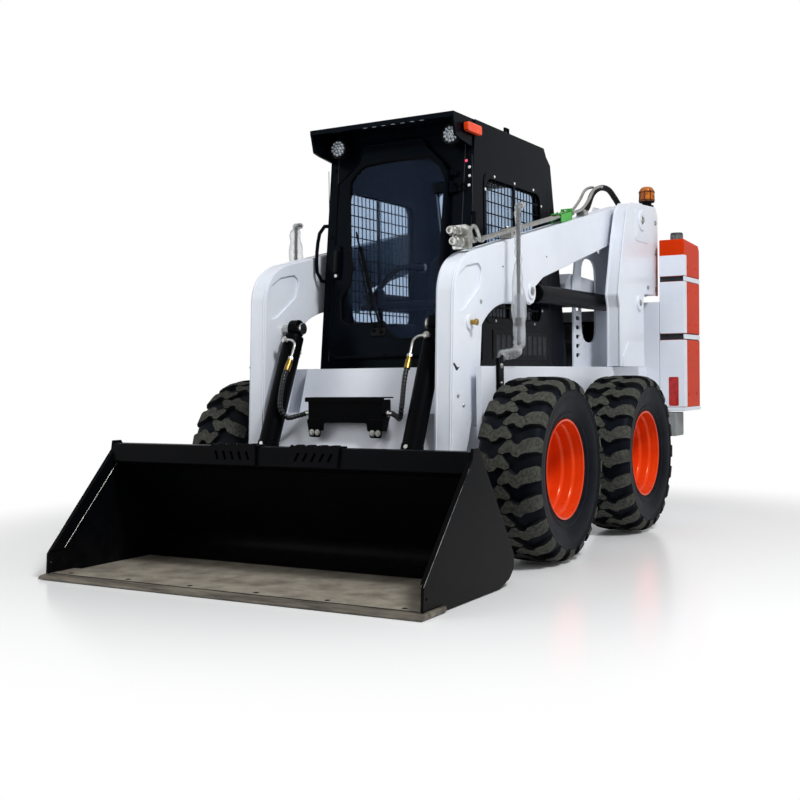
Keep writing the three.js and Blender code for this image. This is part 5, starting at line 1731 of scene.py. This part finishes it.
# Cab door.
door = {
    "outline": [
        (-338, 925), (-338, 90), (-324, 60), (-294, 46), (242, 46), (272, 60), (286, 90), (286, 922),
        (258, 972), (202, 1028), (168, 1058), (138, 1104), (-170, 1104), (-202, 1084), (-222, 1022),
        (-262, 984),
    ],
    "glass": [
        (-268, 925), (-252, 600), (-228, 500), (-240, 415), (-286, 345), (-278, 240), (-240, 210), (-50, 216),
        (-18, 192), (18, 140), (44, 132), (220, 132), (254, 168), (268, 860), (264, 908), (244, 952),
        (176, 1006), (-30, 1013), (-180, 1004), (-222, 980),
    ],
    "depth": (6, 36),
    "sheet": (16, 22),
}


def insetOutline(points, by):
    middle = Vector((sum(p[0] for p in points) / len(points), sum(p[1] for p in points) / len(points)))
    made = []
    for i, p in enumerate(points):
        before, after = Vector(points[i - 1][:2]), Vector(points[(i + 1) % len(points)][:2])
        along = (after - before).normalized()
        inward = Vector((-along.y, along.x))
        if inward.dot(middle - Vector(p[:2])) < 0:
            inward = -inward
        made.append(tuple(Vector(p[:2]) + inward * by))
    return made


def doorParts():
    out0, out1 = door["depth"]
    outline = soften(door["outline"], 24, 5)
    opening = soften(door["glass"], 26, 5)
    made = Parts()
    made.add(plate, outline, out0, out1 - 6, cabBlack, "front", [opening], edge=3)
    # A raised rim round the frame and the seal that holds the pane.
    raised = insetOutline(outline, 7)
    made.add(tube, [frontPoint(x, up, out1 - 5) for x, up in [*raised, raised[0]]], 5, cabBlack, 8)
    made.add(tube, [frontPoint(x, up, out0 + 19) for x, up in [*opening, opening[0]]], 7, gasket, 8)
    # Latch plate, lock box, two hinge straps and the bolts of the frame.
    latch = rectangle(-324, -290, 440, 606, 10)
    made.add(plate, latch, out1 - 8, 46, cabBlack, "front", edge=2)
    made.add(plate, rectangle(-316, -298, 470, 580, 8), 44, 64, plastic, "front", edge=4)
    made.add(
        lathe, [(0, 0), (9, 0), (9, 4), (7, 5), (3, 5), (2.5, 3), (0, 3)], frontPoint(-307, 455, 45.5),
        frontOut, zinc, 20,
    )
    for up in (190, 850):
        strap = soften([(206, up - 20), (284, up - 26), (284, up + 26), (206, up + 20)], 10)
        made.add(plate, strap, out1 - 7, out1 - 1, cabBlack, "front", edge=1.5)
        for x in (222, 252):
            made += hexHead(frontPoint(x, up, out1 - 2), frontOut, black, 13, 5)
    for x, up in ((-322, 110), (-322, 700), (-322, 880), (-20, 62), (268, 400), (268, 640)):
        made += hexHead(frontPoint(x, up, out1 - 7), frontOut, black, 11, 4)
    # Wiper: motor cover, two arms and the blade.
    cover = rectangle(-96, -14, 150, 190, 12)
    made.add(plate, cover, 21, out1 + 2, plastic, "front", edge=5)
    for a, b, r in (((-36, 170), (-176, 596), 5), ((-78, 178), (-190, 560), 4)):
        made.add(rod, frontPoint(*a, out1 + 4), frontPoint(*b, 34), r, black, 12)
        made.add(rod, frontPoint(*a, out1), frontPoint(*a, out1 + 11), 9, black, 16)
    ends = (frontPoint(-104, 330, 27), frontPoint(-213, 672, 27))
    made.add(
        tube,
        [ends[0].lerp(ends[1], k / 12) + Vector((0, -3 * math.sin(math.pi * k / 12), 0)) for k in range(13)],
        4.5, gasket, 8,
    )
    made.add(rod, frontPoint(-110, 348, 33), frontPoint(-208, 655, 33), 3, black, 8)
    return made


def paneParts():
    return [plate(insetOutline(soften(door["glass"], 26, 5), -4), *door["sheet"], glass, "front", edge=0.6)]


standIn("doorFrameEnamelled", "cab_door", doorParts(), "door_frame")
standIn("doorPane", "cab_door", paneParts(), "door_glass")


# Tail.
tail = {
    "podX": (680.3, 830.3),
    "pod": [(2058, 620, 4), (2396, 620, 4), (2396, 1586, 14), (2370, 1616, 14), (2058, 1632, 4)],
    "boxes": [(608, 1030), (1066, 1380), (1410, 1640)],
    "skins": [(626, 1028), (1068, 1378), (1412, 1536)],
    "gate": (-636, 666, 2331, 2373, 610, 1238),
}
dress("tail_frame", white, 3)
dress("rear_bumper", satinGrey, 6)
dress("engine_hood", white, 6)


def tailTrim():
    made = []
    for s in (1, -1):
        for y in (2080, 2180, 2290):
            made += hexHead((s * 680, y, 640), (s, 0, 0), zinc, 17, 7)
        for x in (450, 600):
            made += hexHead((s * x, 2240, 1260), (0, 0, 1), zinc, 17, 7)
    return made


def hoodTrim():
    made = Parts()
    for k in range(12):
        y = 1420 + k * 44
        top = 1390 - (y - 1290) * (1390 - 1352) / 1000
        made.add(block, -300, 300, y, y + 14, top - 1, top + 3.5, sealerAndPaintedShade, 1.5)
        made.add(block, -306, 306, y + 14, y + 20, top - 1, top + 6, white, 1.5)
    for s in (1, -1):
        made.add(
            lathe, [(0, 0), (11, 0), (11, 2), (8, 4), (0, 4)], (s * 412, 2200, 1300), (s, 0, 0), black, 20
        )
    return made


def podParts(s):
    x0, x1 = tail["podX"]
    made = Parts()
    outline = soften(tail["pod"], 14, 5)
    # Three boxes with dark joints between them.
    made.add(plate, outline, s * (x0 + 2), s * (x1 - 4), sealerAndPaintedShade, edge=1, shrink=6)
    for low, high in tail["boxes"]:
        shape = clipHeights(outline, low, high)
        made.add(plate, soften(shape, 3, 2), s * x0, s * x1, orange, edge=5)
    # White front skins that wrap round the corner, white bands and a base strip.
    for low, high in tail["skins"]:
        made.add(
            plate, rectangle(s * (x0 + 2), s * (x1 + 3), low, high, 8), 2051.3, 2058, white, "y", edge=1.5
        )
        made.add(plate, rectangle(2052, 2104, low, high, 6), s * (x1 - 0.5), s * (x1 + 3.6), white, edge=1.2)
    for z in (1395, 1048):
        made.add(plate, rectangle(2056, 2394, z - 14, z + 14, 4), s * (x1 - 4), s * (x1 + 2), white, edge=1.2)
    made.add(plate, rectangle(2052, 2398, 601, 623, 4), s * (x0 + 1), s * (x1 + 3.6), white, edge=2)
    red = rectangle(s * 736, s * 796, 632, 806, 8)
    made.add(plate, red, 2050.2, 2052.4, redLens, "y", edge=0.4)
    for z in (700, 960, 1120, 1320, 1470):
        for y in (2140, 2320):
            made += hexHead((s * (x1 - 0.5), y, z), (s, 0, 0), orange, 11, 3.5)
    for z in (660, 1500):
        made.add(rod, (s * (x0 + 30), 2395, z), (s * (x0 + 30), 2401, z), 14, redLens, 24)
    if s > 0:
        knurl = [
            (0, 1592), (38, 1592), (38, 1600), (35, 1602), (35, 1624), (38, 1626), (38, 1668), (34, 1678),
            (0, 1678),
        ]
        made.add(lathe, knurl, (764, 2141, 0), (0, 0, 1), castGrey, 40)
        for x, y in disc(764, 2141, 37, 28):
            made.add(rod, (x, y, 1630), (x, y, 1664), 1.6, zinc, 6)
    return made


def clipHeights(points, low, high):  # the part of an outline between two heights
    def cut(ring, level, keepAbove):
        made = []
        for i, b in enumerate(ring):
            a = ring[i - 1]
            insideA, insideB = (a[1] >= level) == keepAbove, (b[1] >= level) == keepAbove
            if insideA != insideB:
                t = (level - a[1]) / (b[1] - a[1])
                made.append((a[0] + (b[0] - a[0]) * t, level))
            if insideB:
                made.append(b)
        return made

    return cut(cut([tuple(p[:2]) for p in points], low, True), high, False)


def gateParts():
    x0, x1, y0, y1, z0, z1 = tail["gate"]
    made = Parts()
    grille = [rectangle(-520, 550, 690, 1170, 30)]
    made.add(plate, rectangle(x0, x1, z0, z1, 22), y0 + 1, y1 - 6, white, "y", grille, edge=5)
    made.add(block, -524, 554, y0 + 4, y0 + 8, 686, 1174, black, 1)
    for k in range(15):
        z = 706 + 32 * k
        slat = [(y1 - 8, z), (y1 - 5, z + 3), (y0 + 16, z + 20), (y0 + 13, z + 17)]
        made.add(plate, slat, -522, 552, black, edge=0.8)
    for x in (-170, 195):
        made.add(block, x - 5, x + 5, y0 + 8, y1 - 5, 688, 1172, black, 1.5)
    for s in (1, -1):
        lamp = rectangle(15 + s * 618 - 24, 15 + s * 618 + 24, 1110, 1190, 8)
        made.add(plate, lamp, y1 - 7, y1 - 0.5, redLens, "y", edge=2.5)
    made.add(plate, rectangle(596, 640, 880, 960, 8), y1 - 7, y1 - 0.5, plastic, "y", edge=2)
    for z in (720, 1080):
        made.add(rod, (-650, 2371, z + 2), (-650, 2371, z + 68), 9, white, 16)
        made.add(block, -660, -610, 2364, 2372, z + 4, z + 66, white, 1.5)
    return made


makePiece("tailTrim", "chassis", tailTrim(), slot="tail_frame")
makePiece("hoodLouvres", "engine_hood", hoodTrim(), slot="engine_hood")
standInPair("tailPod{}Boxes", "chassis", podParts, "tail_pod_{}")
standIn("tailgateGrille", "tailgate", gateParts(), "tailgate")
print("door and tail built")


# Mirrors.
mirror = {
    "stem": [
        (608, -66, 894), (610, -30, 918), (618, 40, 924), (622, 96, 940), (622, 112, 990), (622, 114, 1300),
        (622, 118, 1570), (622, 132, 1604), (622, 164, 1612),
    ],
    "radius": 11,
    "head": (598, 652, 100, 128, 950, 1200),
    "tied": (1130, 1440),
    "gather": 220,
}


def mirrorParts(s):
    made = Parts()
    stem = smoothPath([(s * x, y, z) for x, y, z in mirror["stem"]], 10)
    made.add(tube, stem, mirror["radius"] - 3, plastic, 14)
    # Film round the arm: thin on the straight, gathered thick where it was tied off.
    tied = mirror["tied"][0 if s > 0 else 1]
    bulk = []
    for at in stem:
        near = max(0.0, 1 - ((at.z - tied) / mirror["gather"]) ** 2)
        near = max(near, 0.45 if at.z < 960 else 0) if at.z < 1590 else 0
        bulk.append(mirror["radius"] + 2 + 4 * random.random() + near * (13 + 9 * random.random()))
    shaken = [at + Vector((random.uniform(-5, 5), random.uniform(-5, 5), 0)) for at in stem]
    made.add(tube, shaken[6:], 10, film, 16, bulk[6:])
    made.add(block, s * 601, s * 615.5, -95, -37, 651, 904, black, 2, 6)
    for z in (690, 790, 870):
        made += hexHead((s * 615, -66, z), (s, 0, 0), zinc, 15, 6)
    made.add(rod, (s * 600, -66, 894), (s * 617, -66, 894), 13, black, 20)
    x0, x1, y0, y1, z0, z1 = mirror["head"]
    back = soften([(s * x0, z0, 20), (s * x1, z0, 20), (s * x1, z1, 24), (s * x0, z1, 24)], 20, 5)
    made.add(plate, back, y0 + 4, y1 - 1, film, "y", edge=8)
    inner = insetOutline(back, 9)
    made.add(plate, inner, y0 + 12, y1 - 4, finishes["mirrorGlass"], "y", edge=1)
    made.add(rod, (s * 622, 112, 1050), (s * 622, 112, 1090), 15, plastic, 20)
    return made


standInPair("mirror{}Assembly", "chassis", mirrorParts, "mirror_{}")


# Warning beacon.
beacon = {"x": 610, "y": 2046, "base": 1836, "lens": (1862, 1942), "guardAt": 48, "ribsAt": 43.6, "ribs": 18}


def beaconParts():
    b = beacon
    at = (b["x"], b["y"], 0)
    low, high = b["lens"]
    # The amber lens and its ribs carry a painted glow.
    made = Parts([
        block(b["x"] - 34, b["x"] + 34, b["y"] - 34, b["y"] + 34, b["base"], b["base"] + 12, black, 3, 8),
        lathe(
            [
                (0, b["base"] + 11), (28, b["base"] + 11), (28, low), (44, low), (47, low + 3), (47, low + 8),
                (0, low + 8),
            ],
            at, (0, 0, 1), plastic, 36,
        ),
        lathe(
            [
                (0, low + 7), (44, low + 7), (44, high - 8), (40, high), (33, high + 10), (20, high + 15),
                (0, high + 16),
            ],
            at, (0, 0, 1), amberLensGlowPainted, 44,
        ),
    ])
    for x, y in disc(b["x"], b["y"], b["ribsAt"], b["ribs"]):
        made.add(rod, (x, y, low + 10), (x, y, high - 8), 2.4, amberLensGlowPainted, 6)
    # Wire guard: four hoops over the top and two rings.
    for k in range(4):
        t = math.pi * k / 4
        across = Vector((math.cos(t), math.sin(t), 0)) * b["guardAt"]
        path = []
        for j in range(13):
            a = math.pi * j / 12
            rise = Vector((0, 0, low + 14 + (high - low) * math.sin(a) ** 0.5))
            path.append(Vector(at) + across * math.cos(a) + rise)
        made.add(tube, path, 1.6, black, 6)
    for z in (low + 14, high - 18):
        ring = [(x, y, z) for x, y in disc(b["x"], b["y"], b["guardAt"], 36)]
        made.add(tube, [*ring, ring[0]], 1.6, black, 6)
    return made


standIn("beaconGuarded", "chassis", beaconParts(), "beacon")


# Seat: soft cushions.
seat = {
    "cushion": [
        (302, 882, 30), (758, 882, 20), (758, 996, 40), (560, 992, 60), (330, 1008, 50), (298, 962, 40)
    ],
    "back": [
        (732, 960, 40), (818, 962, 30), (898, 1456, 50), (852, 1498, 40), (808, 1462, 50), (714, 1004, 40)
    ],
    "half": 228,
    "backHalf": 213,
}


def padded(outline, half, sections, crown, seams):
    ring = soften(outline, 30, 6)
    middle = Vector((sum(p[0] for p in ring) / len(ring), sum(p[1] for p in ring) / len(ring)))
    verts = []
    for k in range(sections + 1):
        x = -half + 2 * half * k / sections
        edge = min(1.0, (half - abs(x)) / 46)
        size = 0.86 + 0.14 * math.sqrt(max(0.0, 1 - (1 - edge) ** 2))
        dip = sum(math.exp(-(((abs(x) - at) / 7) ** 2)) for at in seams) * crown
        for p in ring:
            out = Vector(p) - middle
            reach = out * size
            reach -= out.normalized() * dip
            verts.append(Vector((x, middle.x + reach.x, middle.y + reach.y)))
    n = len(ring)
    ends = [list(range(n)), list(range(sections * n, sections * n + n))]
    return {"verts": verts, "faces": skin(sections + 1, n) + ends, "finish": vinyl}


cushion = standIn(
    "seatCushionVinyl", "chassis", [padded(seat["cushion"], seat["half"], 56, 7, (120, 182))],
    "operator_seat", 50, False,
)
backrest = makePiece(
    "seatBackVinyl", "chassis", [padded(seat["back"], seat["backHalf"], 56, 6, (110, 168))], [],
    "operator_seat", 50, False,
)
stitches = Parts()
for s in (1, -1):
    for x in (120, 182):
        for k in range(40):
            y = 340 + k * 10
            z = 1009 - 0.04 * abs(y - 330) - 5.4
            stitches.add(rod, (s * x, y, z), (s * x, y + 6, z - 0.2), 0.9, satinGrey, 5)
makePiece("seatStitching", "chassis", stitches, slot="operator_seat")


# Lap bar.
def lapBarParts():
    route = [(322, 925, 1440), (322, 620, 1400), (322, 330, 1200), (270, 240, 1180), (0, 240, 1180)]
    full = route + [(-x, y, z) for x, y, z in reversed(route[:-1])]
    made = Parts()
    made.add(tube, smoothPath(full, 10), 15.6, black, 20)
    made.add(
        tube, [(x, 240, 1180) for x in range(-150, 151, 10)], 22, plastic, 20,
        [22 - 1.5 * (k % 2) for k in range(31)],
    )
    for s in (1, -1):
        made.add(block, s * 312, s * 360, 900, 950, 1415, 1465, black, 4, 8)
        made += hexHead((s * 312, 925, 1440), (-s, 0, 0), zinc, 22, 8)
    return made


standIn("lapBarPainted", "lap_bar", lapBarParts(), "lap_bar")


# Grips, boots and pads on the two consoles.
def consoleTrim():
    made = Parts()
    for s in (1, -1):
        made.add(
            lathe,
            [
                (34, 1082), (34, 1086), (30, 1092), (31, 1096), (25, 1102), (26, 1106), (19, 1114),
                (12, 1120), (0, 1122), (0, 1082),
            ],
            (s * 276, 380, 0), (0, 0, 1), gasket, 24,
        )
        grip = [
            (0, 1180), (15, 1184), (19, 1200), (17, 1216), (20, 1232), (18, 1248), (21, 1264), (16, 1278),
            (0, 1282),
        ]
        made.add(lathe, grip, (s * 276, 380, 0), (0, 0, 1), plastic, 20)
        made.add(block, s * 236, s * 346, 470, 690, 1083, 1106, vinyl, 9, 14)
        for k in range(4):
            made.add(
                block, s * 262, s * 288, 270 + 22 * k, 284 + 22 * k, 1084, 1091,
                smallWhite if k == 0 else black, 1.5, 2,
            )
    return made


makePiece("consoleTrim", "chassis", consoleTrim(), slot="seat_base")
print("mirrors, beacon, seat and bar built")
